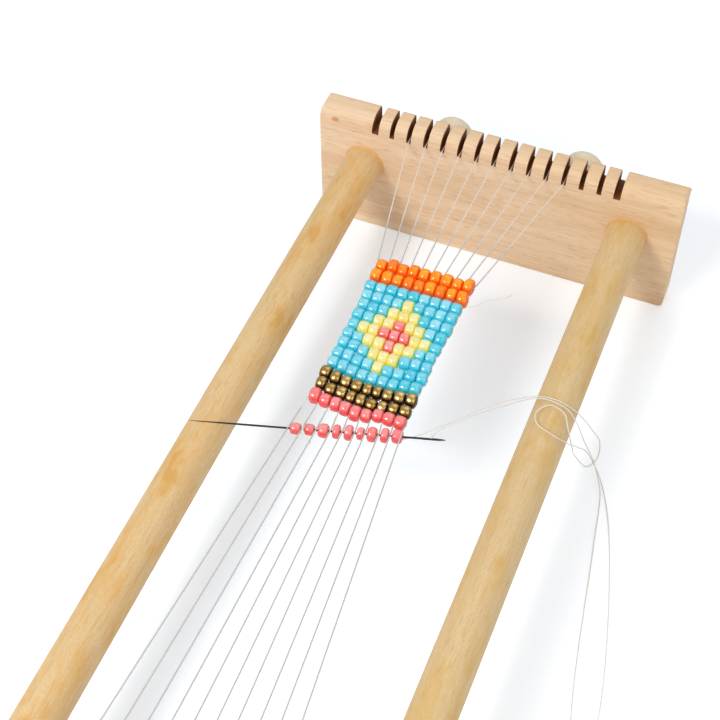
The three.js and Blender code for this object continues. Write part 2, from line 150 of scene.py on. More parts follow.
# Light: lamps with their directions, distances and disk sizes in metres, and powers
SURROUND = 0.42
SURROUND_TINT = (0.94, 0.98, 1.04, 1)
FLOOR_TINT = (0.92, 0.945, 0.965, 1)
# painted cool tint between the dowels, against their warm bounce light
FLOOR_TINT_AGAINST_BOUNCE = (0.875, 0.935, 1.0, 1)
# the camera sees the floor glowing; the higher value on the right is painted light
FLOOR_GLOW_WITH_PAINTED_LIGHT = (0.23, 0.28)
FLOOR_SIZE = 4000.0
LAMPS = (("left_lamp", (-0.5, -0.83, 1.0), 0.9, 0.4, 3.3),
         ("right_lamp", (1.0, -0.12, 0.55), 1.0, 0.9, 1.8),
         ("back_lamp", (0.1, 0.9, 1.0), 1.0, 0.9, 1.8),
         ("left_spark", (-0.5, -0.6, 1.0), 0.7, 0.1, 0.75),
         ("right_spark", (0.6, -0.5, 1.0), 0.9, 0.11, 0.45))

# The needle and the beads on it
NEEDLE_HEIGHT = 39.075
NEEDLE_TIP = np.array([-44.134, -0.87, NEEDLE_HEIGHT])
NEEDLE_LENGTH = 67.8
NEEDLE_RADIUS = 0.27
NEEDLE_TAPER = 14.0
NEEDLE_SIDES = 24
NEEDLE_ANGLE = np.radians(16.4)
NEEDLE_AXIS = np.array([np.cos(NEEDLE_ANGLE), np.sin(NEEDLE_ANGLE), 0.0])
EYE_LENGTH = 3.2
EYE_WIDTH = 0.3
EYE_FROM_END = 2.2
EYE_MIDDLE = NEEDLE_LENGTH - EYE_FROM_END - EYE_LENGTH / 2
EYE_SWELL_LENGTH = 2.6
EYE_SWELL = 0.3
EYE_FLATNESS = 0.12
LAST_BEAD = np.array([8.82, 14.715, NEEDLE_HEIGHT])
BEAD_TURN = np.radians(6.4)
NEEDLE_BEAD_ALONG = [-26.6, -23.0, -19.3, -15.9, -12.7, -9.6, -6.6, -3.3, 0.0]
NEEDLE_BEAD_LENGTH = [2.8, 2.65, 2.75, 2.0, 2.25, 1.9, 2.6, 2.15, 2.8]
NEEDLE_BEAD_DIAMETER = [3.2, 3.15, 3.9, 3.9, 4.3, 3.5, 4.1, 4.05, 3.9]
NEEDLE_BEAD_BORE = 1.5
NEEDLE_BEAD_GAP = 0.9
NEEDLE_BEAD_ROUNDNESS = 0.74
NEEDLE_BEAD_SIDES = 28


# The camera
def stand(right, up, back, place):
    """The matrix of a camera or a lamp at a place, from its own three axes."""
    matrix = np.eye(4)
    matrix[:3] = np.column_stack([right, up, back, place])
    return Matrix(matrix.tolist())


def set_up_camera():
    """The camera stands where the photograph was taken: right, down and forward are its own axes."""
    right = np.array([0.92632, 0.37672, -0.00416])
    down = np.array([0.28786, -0.71485, -0.63729])
    forward = np.array([-0.24305, 0.58913, -0.77062])
    place = np.array([0.0860462, -0.2013333, 0.3493485])
    data = bpy.data.cameras.new("camera")
    data.sensor_width = 36.0
    data.lens = 74.158
    data.shift_x = 0.00754
    data.shift_y = -0.00625
    data.clip_start = 0.01
    camera = bpy.data.objects.new("camera", data)
    camera.matrix_world = stand(right, -down, -forward, place)
    scene.collection.objects.link(camera)
    scene.camera = camera


# Surfaces. Each is a dictionary of points (n, 3), faces as arrays of point numbers with one array for
# each number of corners, their corners' (around, along) values, a tone for each point and a finish
# for each face array.
def surface(points, faces, places=None, tone=0.5, finish=0):
    """A closed surface whose faces are turned outwards: where the signed volume, the sum of
    a . (b x c) over fans of its faces, is negative, every face is turned over."""
    points = np.asarray(points, float)
    faces = [np.asarray(f, int) for f in faces]
    places = places or [np.zeros(f.shape + (2,)) for f in faces]
    middle = points.mean(0)
    volume = 0.0
    for f in faces:
        p = points[f] - middle
        for k in range(1, f.shape[1] - 1):
            volume += np.einsum("ij,ij->i", p[:, 0], np.cross(p[:, k], p[:, k + 1])).sum()
    if volume < 0:
        faces = [f[:, ::-1] for f in faces]
        places = [q[:, ::-1] for q in places]
    tones = np.broadcast_to(np.asarray(tone, float), (len(points),)).copy()
    return {"points": points, "faces": faces, "places": places, "tone": tones,
            "finish": [finish] * len(faces)}


def grid_faces(rows, columns, close_rows=False):
    """Quads between the neighbours of a rows x columns grid whose columns close in a ring, and each
    corner's (column, row) count, which runs on past a closed edge."""
    r = np.arange(rows if close_rows else rows - 1)[:, None]
    r, c = np.broadcast_arrays(r, np.arange(columns))
    corners = [(r, c), (r, c + 1), (r + 1, c + 1), (r + 1, c)]
    quads = np.stack([(i % rows) * columns + j % columns for i, j in corners], axis=-1)
    counts = np.stack([np.stack([j, i], axis=-1) for i, j in corners], axis=-2)
    return quads.reshape(-1, 4), counts.reshape(-1, 4, 2).astype(float)


def shade(mesh, sharp=None):
    """Smooth shading, broken at edges that turn by more than an angle in degrees, if one is given."""
    mesh.polygons.foreach_set("use_smooth", np.full(len(mesh.polygons), True))
    if sharp is not None:
        mesh.set_sharp_from_angle(angle=np.radians(sharp))


def make_piece(name, surfaces, materials, body, nodes, sharp=None):
    """Joins surfaces into one mesh object at the origin, with its tone and place stored for the
    materials, and lets it ride on a body in place of CAD nodes."""
    starts = np.cumsum([0] + [len(s["points"]) for s in surfaces])
    points = np.concatenate([s["points"] for s in surfaces]) * MM
    faces, places, finishes = [], [], []
    for s, start in zip(surfaces, starts):
        for f, q, kind in zip(s["faces"], s["places"], s["finish"]):
            faces.extend((f + start).tolist())
            places.append(q.reshape(-1, 2))
            finishes.append(np.full(len(f), kind))
    mesh = bpy.data.meshes.new(name)
    mesh.from_pydata(points.tolist(), [], faces)
    mesh.polygons.foreach_set("material_index", np.concatenate(finishes).astype(np.int32))
    uv = mesh.uv_layers.new(name="place")
    uv.data.foreach_set("uv", np.concatenate(places).ravel().astype(np.float32))
    tone = mesh.attributes.new("tone", "FLOAT", "POINT")
    tone.data.foreach_set("value", np.concatenate([s["tone"] for s in surfaces]).astype(np.float32))
    # painted shade at the beads' ends and flanks, stored for the glass
    if "painted_rim_shade" in surfaces[0]:
        painted_rim_shade = mesh.attributes.new("painted_rim_shade", "FLOAT", "POINT")
        values = [s.get("painted_rim_shade", np.zeros(len(s["points"]))) for s in surfaces]
        painted_rim_shade.data.foreach_set("value", np.concatenate(values).astype(np.float32))
    shade(mesh, sharp)
    for material in materials:
        mesh.materials.append(material)
    mesh.update()
    piece = bpy.data.objects.new(name, mesh)
    scene.collection.objects.link(piece)
    if body:
        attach(piece, body)
    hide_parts(*nodes)
    return piece


def turned(profile, sides):
    """A profile of (along, radius) points turned round the X axis: (x, r cos a, r sin a). A profile
    whose ends have no radius closes in two poles."""
    profile = np.asarray(profile, float)
    angles = np.arange(sides) * 2 * np.pi / sides
    ring = profile[1:-1]
    points = np.stack(np.broadcast_arrays(
        ring[:, :1], ring[:, 1:] * np.cos(angles), ring[:, 1:] * np.sin(angles)), axis=-1)
    points = points.reshape(-1, 3)
    quads, counts = grid_faces(len(ring), sides)
    places = counts / [sides, 1.0]
    places[..., 1] = ring[np.minimum(counts[..., 1].astype(int), len(ring) - 1), 0]
    first, last = len(points), len(points) + 1
    points = np.vstack([points, [[profile[0, 0], 0, 0], [profile[-1, 0], 0, 0]]])
    k = np.arange(sides)
    low = np.stack([np.full(sides, first), (k + 1) % sides, k], axis=-1)
    top = (len(ring) - 1) * sides
    high = np.stack([np.full(sides, last), top + k, top + (k + 1) % sides], axis=-1)
    caps = np.vstack([low, high])
    return surface(points, [quads, caps], [places, np.zeros(caps.shape + (2,))])


def tube(path, radius, finish=0):
    """A round tube along a path: path(s) + radius (n(s) cos a + b(s) sin a), where the normals n and b
    turn as little as they can, and the radius is one value or one for each point. Each ring starts
    from one fixed direction, and the turn that this puts between neighbours is summed along the path
    and taken off again. The ends are capped."""
    path = np.asarray(path, float)
    steps = np.diff(path, axis=0)
    lengths = np.linalg.norm(steps, axis=1)
    along = np.concatenate([[0.0], np.cumsum(lengths)])
    unit = steps / lengths[:, None]
    tangent = np.vstack([unit[:1], unit[:-1] + unit[1:], unit[-1:]])
    tangent /= np.linalg.norm(tangent, axis=1)[:, None]
    fixed = np.array([0.3, 0.2, 0.93])
    normal = fixed - (tangent @ fixed)[:, None] * tangent
    normal /= np.linalg.norm(normal, axis=1)[:, None]
    carried = normal[:-1] - np.einsum("ij,ij->i", normal[:-1], tangent[1:])[:, None] * tangent[1:]
    sine = np.einsum("ij,ij->i", np.cross(carried, normal[1:]), tangent[1:])
    cosine = np.einsum("ij,ij->i", carried, normal[1:])
    turn = -np.concatenate([[0.0], np.cumsum(np.arctan2(sine, cosine))])[:, None]
    side = np.cross(tangent, normal)
    normal, side = normal * np.cos(turn) + side * np.sin(turn), side * np.cos(turn) - normal * np.sin(turn)
    ring = np.arange(THREAD_SIDES)
    angles = ring * 2 * np.pi / THREAD_SIDES
    rings = path[:, None] + np.broadcast_to(radius, len(path))[:, None, None] * (
        normal[:, None] * np.cos(angles)[None, :, None] + side[:, None] * np.sin(angles)[None, :, None])
    quads, counts = grid_faces(len(path), THREAD_SIDES)
    places = np.stack([counts[..., 0] / THREAD_SIDES, along[counts[..., 1].astype(int)]], axis=-1)
    ends = np.array([ring[::-1], (len(path) - 1) * THREAD_SIDES + ring])
    return surface(rings.reshape(-1, 3), [quads, ends], [places, np.zeros(ends.shape + (2,))],
                   finish=finish)


def smooth_path(points, count):
    """A curve through points, stepped evenly: centripetal Catmull-Rom, as the loom's own threads lie.
    Between points 1 and 2 it is the cubic whose end slopes come from the square roots of the three
    spans around them."""
    p = np.asarray(points, float)
    p = np.vstack([2 * p[0] - p[1], p, 2 * p[-1] - p[-2]])
    span = np.sqrt(np.linalg.norm(np.diff(p, axis=0), axis=1))[:, None]
    before, here, after = span[:-2], span[1:-1], span[2:]
    a, b, c, d = p[:-3], p[1:-2], p[2:-1], p[3:]
    start = here * ((b - a) / before - (c - a) / (before + here) + (c - b) / here)
    end = here * ((c - b) / here - (d - b) / (here + after) + (d - c) / after)
    t = np.linspace(0, 1, 40, endpoint=False)[None, :, None]
    b, c, start, end = b[:, None], c[:, None], start[:, None], end[:, None]
    curve = (b + start * t + (3 * (c - b) - 2 * start - end) * t ** 2
             + (2 * (b - c) + start + end) * t ** 3)
    curve = np.vstack([curve.reshape(-1, 3), p[-2]])
    along = np.concatenate([[0.0], np.cumsum(np.linalg.norm(np.diff(curve, axis=0), axis=1))])
    even = np.linspace(0, along[-1], count)
    return np.stack([np.interp(even, along, curve[:, k]) for k in range(3)], axis=-1)


# Materials
def new_group(name, inputs, outputs):
    """A shader node group with its named sockets, and its two end nodes."""
    group = bpy.data.node_groups.new(name, "ShaderNodeTree")
    for label, kind, value in inputs:
        socket = group.interface.new_socket(name=label, in_out="INPUT", socket_type=kind)
        if value is not None:
            socket.default_value = value
    for label, kind in outputs:
        group.interface.new_socket(name=label, in_out="OUTPUT", socket_type=kind)
    return group, group.nodes.new("NodeGroupInput"), group.nodes.new("NodeGroupOutput")


def add(tree, kind, **values):
    """Adds a node. Values go to properties, or to inputs where the name is i0, i1 and so on."""
    node = tree.nodes.new(kind)
    for key, value in values.items():
        if key[0] == "i" and key[1:].isdigit():
            target = node.inputs[int(key[1:])]
            if isinstance(value, bpy.types.NodeSocket):
                tree.links.new(value, target)
            else:
                target.default_value = value
        else:
            setattr(node, key, value)
    return node


def math(tree, operation, a, b=None, clamp=False):
    """Puts out the result of one operation on one or two values."""
    values = {"i0": a} if b is None else {"i0": a, "i1": b}
    return add(tree, "ShaderNodeMath", operation=operation, use_clamp=clamp, **values).outputs[0]


def blend(tree, factor, a, b, mode="MIX"):
    """Puts out a blend of two colours: a where the factor is 0, and b, or a times b, where it is 1."""
    node = add(tree, "ShaderNodeMix", data_type="RGBA", blend_type=mode)
    for socket, value in ((node.inputs[0], factor), (node.inputs[6], a), (node.inputs[7], b)):
        if isinstance(value, bpy.types.NodeSocket):
            tree.links.new(value, socket)
        else:
            socket.default_value = value
    return node.outputs[2]


def ramp(tree, factor, low, high, to_low=0.0, to_high=1.0):
    """Maps low..high to to_low..to_high, with a smooth start and end."""
    node = add(tree, "ShaderNodeMapRange", interpolation_type="SMOOTHSTEP", i0=factor, i1=low, i2=high,
               i3=to_low, i4=to_high)
    return node.outputs[0]


def noise(tree, place, size, detail, rough=0.5):
    """Noise at a place in metres. Its size is how many of its lumps fit in a metre."""
    return add(tree, "ShaderNodeTexNoise", i0=place, i2=size, i3=detail, i4=rough).outputs[0]


def drawn_out(tree, place, x=1, y=1, z=1):
    """A place scaled along its axes: below 1, the pattern that reads it is drawn out that way."""
    return add(tree, "ShaderNodeMapping", i0=place, i3=(x, y, z)).outputs[0]


def object_coordinates(tree):
    """A point's place on its object, which for every piece is its place on the loom."""
    return add(tree, "ShaderNodeTexCoord").outputs["Object"]


def colour(red, green, blue):
    """A colour as seen on a screen, 0 to 255, in linear light."""
    c = np.array([red, green, blue]) / 255.0
    c = np.where(c <= 0.04045, c / 12.92, ((c + 0.055) / 1.055) ** 2.4)
    return (*c.tolist(), 1.0)


def wood_grain_group():
    """Wood whose grain runs along the first axis, from a position in metres: long soft bands of tone,
    fine fibre streaks, short dark flecks and pores. Each is noise stretched along the grain."""
    group, given, out = new_group("wood_grain", [
        ("Vector", "NodeSocketVector", None),
        ("Pale", "NodeSocketColor", (0.8, 0.6, 0.4, 1)),
        ("Deep", "NodeSocketColor", (0.6, 0.4, 0.2, 1)),
        ("Fleck", "NodeSocketColor", (0.4, 0.2, 0.1, 1)),
        ("Band size", "NodeSocketFloat", 120.0),
        ("Band strength", "NodeSocketFloat", 0.6),
        ("Fibre strength", "NodeSocketFloat", 0.4),
        ("Fleck amount", "NodeSocketFloat", 0.5),
        ("Gloss", "NodeSocketFloat", 0.5),
    ], [("Color", "NodeSocketColor"), ("Roughness", "NodeSocketFloat"), ("Height", "NodeSocketFloat")])
    g = given.outputs

    band = noise(group, drawn_out(group, g[0], 0.07), g[4], 3.0, 0.6)
    fibre = noise(group, drawn_out(group, g[0], 0.03), 1900.0, 2.0, 0.6)
    fleck = noise(group, drawn_out(group, g[0], 0.14), 1500.0, 1.0, 0.4)
    pore = noise(group, drawn_out(group, g[0], 0.10), 2600.0, 1.0, 0.4)
    tone = math(group, "MULTIPLY", ramp(group, band, 0.34, 0.68), g[5])
    streak = math(group, "MULTIPLY", ramp(group, fibre, 0.35, 0.70), g[6])
    deep = math(group, "ADD", tone, streak, clamp=True)
    body = blend(group, deep, g[1], g[2])
    mark = math(group, "MULTIPLY", ramp(group, fleck, 0.585, 0.70), g[7])
    pores = math(group, "MULTIPLY", ramp(group, pore, 0.62, 0.74), g[7])
    marks = math(group, "MAXIMUM", mark, math(group, "MULTIPLY", pores, 0.6))
    finished = blend(group, marks, body, g[3])
    rough = math(group, "ADD", g[8], math(group, "MULTIPLY", streak, 0.2), clamp=True)
    height = math(group, "SUBTRACT", math(group, "MULTIPLY", fibre, 0.5), marks)
    group.links.new(finished, out.inputs[0])
    group.links.new(rough, out.inputs[1])
    group.links.new(height, out.inputs[2])
    return group


def thread_twist_group():
    """Two plies laid round each other, on the piece's own place values: the phase is twice round the thread
    plus once for each lay along it. Puts out a height and a tone with painted shade in the hollows between
    the plies."""
    group, given, out = new_group("thread_twist", [
        ("Place", "NodeSocketVector", None),
        ("Lay", "NodeSocketFloat", 0.9),
        ("Pale", "NodeSocketColor", (0.9, 0.9, 0.9, 1)),
        ("Groove", "NodeSocketColor", (0.6, 0.6, 0.6, 1)),
    ], [("Color", "NodeSocketColor"), ("Height", "NodeSocketFloat")])
    g = given.outputs
    split = add(group, "ShaderNodeSeparateXYZ", i0=g[0]).outputs
    turns = math(group, "ADD", math(group, "MULTIPLY", split[0], 2.0), math(group, "DIVIDE", split[1], g[1]))
    wave = math(group, "SINE", math(group, "MULTIPLY", turns, 2 * np.pi))
    height = math(group, "ADD", math(group, "MULTIPLY", wave, 0.5), 0.5)
    # painted shade: the darker colour where the plies dip
    tone = blend(group, ramp(group, height, 0.0, 0.5, 1.0, 0.0), g[2], g[3])
    group.links.new(tone, out.inputs[0])
    group.links.new(height, out.inputs[1])
    return group


def bead_glaze_group():
    """Glass colour that changes from bead to bead with the stored tone, with cloudy streaks, painted shade
    in the deeper edge colour at the bead's ends and where it touches the next rows, and a little unevenness
    of gloss."""
    group, given, out = new_group("bead_glaze", [
        ("Vector", "NodeSocketVector", None),
        ("Tone", "NodeSocketFloat", 0.5),
        # The Edge colour, and how far it covers, carry the painted shade at a bead's ends and flanks
        ("Rim", "NodeSocketFloat", 0.0),
        ("Pale", "NodeSocketColor", (0.9, 0.9, 0.9, 1)),
        ("Deep", "NodeSocketColor", (0.6, 0.6, 0.6, 1)),
        ("Edge", "NodeSocketColor", (0.3, 0.3, 0.3, 1)),
        ("Cloud size", "NodeSocketFloat", 700.0),
        ("Cloud", "NodeSocketFloat", 0.3),
        ("Gloss", "NodeSocketFloat", 0.2),
    ], [("Color", "NodeSocketColor"), ("Roughness", "NodeSocketFloat"), ("Height", "NodeSocketFloat")])
    g = given.outputs
    lumps = noise(group, g[0], g[6], 2.0)
    cloud = math(group, "MULTIPLY", math(group, "SUBTRACT", lumps, 0.5), g[7])
    share = math(group, "ADD", math(group, "SUBTRACT", 1.0, g[1]), cloud, clamp=True)
    body = blend(group, share, g[3], g[4])
    # painted shade: the edge colour towards the bead's ends and flanks, where beads touch
    painted_rim_shade = ramp(group, math(group, "ADD", g[2], math(group, "MULTIPLY", cloud, 0.4)), 0.1, 1.0)
    tone = blend(group, painted_rim_shade, body, g[5])
    rough = math(group, "ADD", g[8], math(group, "MULTIPLY", cloud, 0.3), clamp=True)
    group.links.new(tone, out.inputs[0])
    group.links.new(rough, out.inputs[1])
    group.links.new(lumps, out.inputs[2])
    return group


def new_material(name, **values):
    """A material with one Principled shader, whose plain values are set on its own sockets."""
    material = bpy.data.materials.new(name)
    material.use_nodes = True
    shader = material.node_tree.nodes["Principled BSDF"]
    for label, value in values.items():
        shader.inputs[label.replace("_", " ")].default_value = value
    return material, material.node_tree, shader


def use_group(tree, group, shader, bump_depth, bump_strength, **values):
    """Places a group in a material and leads its colour, roughness and height to the shader."""
    node = tree.nodes.new("ShaderNodeGroup")
    node.node_tree = group
    for label, value in values.items():
        socket = node.inputs[label.replace("_", " ")]
        if isinstance(value, bpy.types.NodeSocket):
            tree.links.new(value, socket)
        else:
            socket.default_value = value
    tree.links.new(node.outputs["Color"], shader.inputs["Base Color"])
    if "Roughness" in node.outputs:
        tree.links.new(node.outputs["Roughness"], shader.inputs["Roughness"])
    bump = tree.nodes.new("ShaderNodeBump")
    bump.inputs["Strength"].default_value = bump_strength
    bump.inputs["Distance"].default_value = bump_depth * MM
    tree.links.new(node.outputs["Height"], bump.inputs["Height"])
    tree.links.new(bump.outputs["Normal"], shader.inputs["Normal"])
    return node


wood_grain = wood_grain_group()
thread_twist = thread_twist_group()
bead_glaze = bead_glaze_group()


def object_place(tree, turn=(0, 0, 0)):
    """Object coordinates, turned so that the grain's axis comes first."""
    place = object_coordinates(tree)
    return add(tree, "ShaderNodeMapping", vector_type="TEXTURE", i0=place, i2=turn).outputs[0]


def object_axis(tree, axis):
    """One object coordinate in metres: 0 across the loom, 1 along it, 2 upwards."""
    return add(tree, "ShaderNodeSeparateXYZ", i0=object_coordinates(tree)).outputs[axis]


def colour_over(tree, shader, share, tint, mode="MIX"):
    """Lays a colour over the one that already leads to the shader, as far as the share says."""
    below = shader.inputs["Base Color"].links[0].from_socket
    tree.links.new(blend(tree, share, below, tint, mode), shader.inputs["Base Color"])


def wood_material(name, turn, pale, deep, fleck, **values):
    """Plain wood whose grain runs along X, or along Y where it is turned a quarter round Z."""
    material, tree, shader = new_material(name, Specular_IOR_Level=0.35)
    use_group(tree, wood_grain, shader, 0.08, 0.35, Vector=object_place(tree, turn), Pale=pale,
              Deep=deep, Fleck=fleck, **values)
    return material, tree, shader


def add_knot(tree, shader, place, radius, amber):
    """A small amber pin knot at a place in millimetres: a mask that falls off with the distance from
    it, drawn out along the grain."""
    away = add(tree, "ShaderNodeVectorMath", operation="SUBTRACT", i0=object_coordinates(tree),
               i1=tuple(p * MM for p in place)).outputs[0]
    distance = add(tree, "ShaderNodeVectorMath", operation="LENGTH",
                   i0=drawn_out(tree, away, 0.6, 0.1)).outputs["Value"]
    mask = ramp(tree, distance, 0.3 * radius * MM, radius * MM, 0.85, 0.0)
    colour_over(tree, shader, mask, amber)


def painted_shade_right_end(tree, shader, tint):
    """Painted shade: multiplies the colour by a darker, warmer tint that sets in from the middle of the
    board to its right end, where less light falls.
    """
    share = ramp(tree, object_axis(tree, 0), -10 * MM, BOARD_WIDTH / 2 * MM)
    colour_over(tree, shader, share, tint, "MULTIPLY")


def painted_light_top(tree, shader, pale):
    """Painted light: mixes in a paler colour near the top, so that the rounded tops of the teeth look more
    brightly lit.
    """
    start, full = (BOARD_HEIGHT - 3.0) * MM, (BOARD_HEIGHT - 0.6) * MM
    colour_over(tree, shader, ramp(tree, object_axis(tree, 2), start, full, 0.0, 0.3), pale)


def glass_material(name, pale, deep, edge, gloss=0.12, cloud=0.9, **values):
    """Glass for one kind of bead. An emission, where it has one, takes the glass's own colour: it is painted
    light, which stands for the light that comes through from the beads around it and lifts the shade between
    them."""
    material, tree, shader = new_material(name, **values)
    tone = add(tree, "ShaderNodeAttribute", attribute_name="tone").outputs["Fac"]
    # painted shade at the bead's ends and flanks
    painted_rim_shade = add(tree, "ShaderNodeAttribute", attribute_name="painted_rim_shade").outputs["Fac"]
    glaze = use_group(tree, bead_glaze, shader, 0.06, 0.4, Vector=object_place(tree), Tone=tone, Rim=painted_rim_shade,
                      Pale=pale, Deep=deep, Edge=edge, Gloss=gloss, Cloud=cloud)
    # painted light: the glass glows in its own colour
    tree.links.new(glaze.outputs["Color"], shader.inputs["Emission Color"])
    return material


def burnt_and_shaded_material():
    """The walls of the saw cuts, scorched dark brown, with fine scorch marks down the wall from noise
    stretched along Z, and painted shade in the narrow slots: darkest at the bottom and paler towards the
    tops of the teeth."""
    material, tree, shader = new_material("burnt_and_shaded_beech", Roughness=0.7, Specular_IOR_Level=0.25)
    streaks = noise(tree, drawn_out(tree, object_coordinates(tree), z=0.15), 1500.0, 3.0)
    burnt = blend(tree, ramp(tree, streaks, 0.3, 0.7), colour(118, 62, 20), colour(150, 92, 46))
    # painted shade: the slot wall is darkest at its bottom and paler towards the tops of the teeth
    start = (SLOT_FLOOR + 2.6) * MM
    paler = ramp(tree, object_axis(tree, 2), start, BOARD_HEIGHT * MM, 0.0, 0.75)
    tree.links.new(blend(tree, paler, burnt, colour(190, 138, 94)), shader.inputs["Base Color"])
    return material


def thread_material(name, pale, groove_shade, painted_shade_colour=None):
    """Twisted thread. Where a colour for painted shade is given, it is mixed in below the weaving, so that
    the thread looks greyer against the white table."""
    material, tree, shader = new_material(name, Roughness=0.5, Specular_IOR_Level=0.5)
    place = add(tree, "ShaderNodeUVMap", uv_map="place").outputs[0]
    # the second colour is painted shade in the hollows between the plies
    use_group(tree, thread_twist, shader, 0.05, 0.6, Place=place, Pale=pale, Groove=groove_shade)
    if painted_shade_colour:
        # painted shade: a greyer colour where the thread is seen against the table
        colour_over(tree, shader, ramp(tree, object_axis(tree, 1), 84 * MM, 92 * MM, 0.85, 0.0), painted_shade_colour)
    return material


def beech_material():
    """Pale beech for the boards, with a pin knot at the far left, painted shade that makes it darker and
    warmer towards the right, and painted light on the tops of the teeth.
    """
    material, tree, shader = wood_material(
        "beech", (0, 0, 0), colour(244, 215, 182), colour(228, 190, 150), colour(208, 160, 114),
        Band_size=150.0, Band_strength=0.7, Fibre_strength=0.55, Fleck_amount=0.45, Gloss=0.5)
    add_knot(tree, shader, KNOT_PLACE, KNOT_RADIUS, colour(206, 140, 66))
    # painted shade: darker and warmer towards the right end
    painted_shade_right_end(tree, shader, (0.97, 0.93, 0.84, 1))
    # painted light on the rounded tops of the teeth
    painted_light_top(tree, shader, colour(246, 212, 168))
    return material


def dowel_material(name, pale, deep, fleck, blotch, core, amber):
    """Straight-grained wood with fine specks and golden blotches with a darker core, which are where a broad
    and a fine noise together, both stretched along the grain, are high. Painted shade tints it amber where
    it meets the boards."""
    material, tree, shader = new_material(name, Specular_IOR_Level=0.35)
    use_group(tree, wood_grain, shader, 0.08, 0.35, Vector=object_place(tree, (0, 0, np.pi / 2)),
              Pale=pale, Deep=deep, Fleck=fleck, Band_size=110.0, Band_strength=0.35,
              Fibre_strength=0.25, Fleck_amount=0.35, Gloss=0.45)
    place = object_coordinates(tree)
    stretched = drawn_out(tree, place, y=0.35)
    broad = noise(tree, stretched, 150.0, 2.0)
    fine = noise(tree, stretched, 520.0, 5.0, 0.65)
    speck = noise(tree, place, 2200.0, 2.0, 0.6)
    patches = math(tree, "ADD", math(tree, "MULTIPLY", broad, 0.6), math(tree, "MULTIPLY", fine, 0.4))
    colour_over(tree, shader, ramp(tree, speck, 0.42, 0.75, 0.0, 0.35), fleck)
    colour_over(tree, shader, ramp(tree, patches, 0.42, 0.66, 0.0, 0.8), blotch)
    colour_over(tree, shader, ramp(tree, patches, 0.56, 0.66, 0.0, 0.4), core)
    # painted shade: amber within two millimetres of each board, where the dowel meets it
    along = math(tree, "ABSOLUTE", object_axis(tree, 1))
    colour_over(tree, shader, ramp(tree, along, (INNER_FACE - 2) * MM, INNER_FACE * MM, 0.0, 0.8), amber)
    return material


beech = beech_material()
burnt_and_shaded_beech = burnt_and_shaded_material()
# The last colour of each dowel is the painted amber shade where it meets the boards
dowel_wood = {
    -1: dowel_material("dowel_wood_left", colour(234, 203, 152), colour(216, 178, 120),
                       colour(198, 154, 98), colour(226, 172, 92), colour(206, 148, 66),
                       colour(228, 172, 98)),
    1: dowel_material("dowel_wood_right", colour(230, 200, 150), colour(213, 179, 124),
                      colour(198, 158, 104), colour(220, 178, 106), colour(208, 160, 84),
                      colour(220, 168, 98)),
}
peg_wood, _, _ = wood_material(
    "peg_wood", (0, 0, np.pi / 2), colour(236, 224, 198), colour(222, 204, 172), colour(204, 180, 146),
    Band_size=260.0, Band_strength=0.4, Fibre_strength=0.3, Fleck_amount=0.25, Gloss=0.45)
# The warps' third colour is painted shade, for where they are seen against the white table
warp_thread = thread_material("warp_thread", colour(244, 228, 212), colour(224, 208, 192),
                              colour(192, 192, 190))
weft_thread = thread_material("weft_thread", colour(246, 241, 231), colour(214, 209, 199))
# Light that goes about two millimetres deep into the glass, and painted light: the glass glows in its own
# colour, for light that comes through
CLOUDY_AND_GLOWING = {"Subsurface_Weight": 0.7, "Subsurface_Scale": 2.0 * MM, "Subsurface_Radius": (1.0, 1.0, 1.0),
          "Emission_Strength": 0.13}
CLOUDY_AND_BRIGHTLY_GLOWING = {**CLOUDY_AND_GLOWING, "Emission_Strength": 0.19}
# The third colour of each glass is painted shade where the beads touch
glass = {
    "orange": glass_material("glass_orange", colour(255, 162, 12), colour(252, 116, 0),
                             colour(240, 92, 0), cloud=1.4, Specular_IOR_Level=0.6, **CLOUDY_AND_GLOWING),
    "turquoise": glass_material("glass_turquoise", colour(148, 210, 222), colour(68, 184, 206),
                                colour(30, 184, 204), Coat_Weight=0.7, **CLOUDY_AND_BRIGHTLY_GLOWING),
    "yellow": glass_material("glass_yellow", colour(231, 219, 168), colour(221, 205, 128),
                             colour(232, 216, 98), Coat_Weight=0.4, **CLOUDY_AND_BRIGHTLY_GLOWING),
    "coral": glass_material("glass_coral", colour(249, 164, 160), colour(243, 130, 126),
                            colour(222, 72, 68), Coat_Weight=0.7, **CLOUDY_AND_GLOWING),
    "bronze": glass_material("glass_bronze", colour(230, 192, 120), colour(184, 142, 74),
                             colour(66, 40, 10), gloss=0.26, cloud=0.5, Metallic=0.85),
    "pink": glass_material("glass_pink", colour(246, 150, 146), colour(240, 110, 110),
                           colour(226, 78, 78), Coat_Weight=0.6, **CLOUDY_AND_GLOWING),
}


def steel_material():
    """Polished dark steel with fine draw marks along the needle: noise stretched along its axis."""
    material, tree, shader = new_material("needle_steel", Metallic=1.0)
    marks = noise(tree, drawn_out(tree, object_place(tree, (0, 0, NEEDLE_ANGLE)), 0.02), 4000.0, 2.0)
    tree.links.new(blend(tree, marks, colour(96, 92, 88), colour(52, 50, 48)), shader.inputs["Base Color"])
    tree.links.new(ramp(tree, marks, 0.2, 0.8, 0.22, 0.38), shader.inputs["Roughness"])
    return material


needle_steel = steel_material()

set_up_camera()

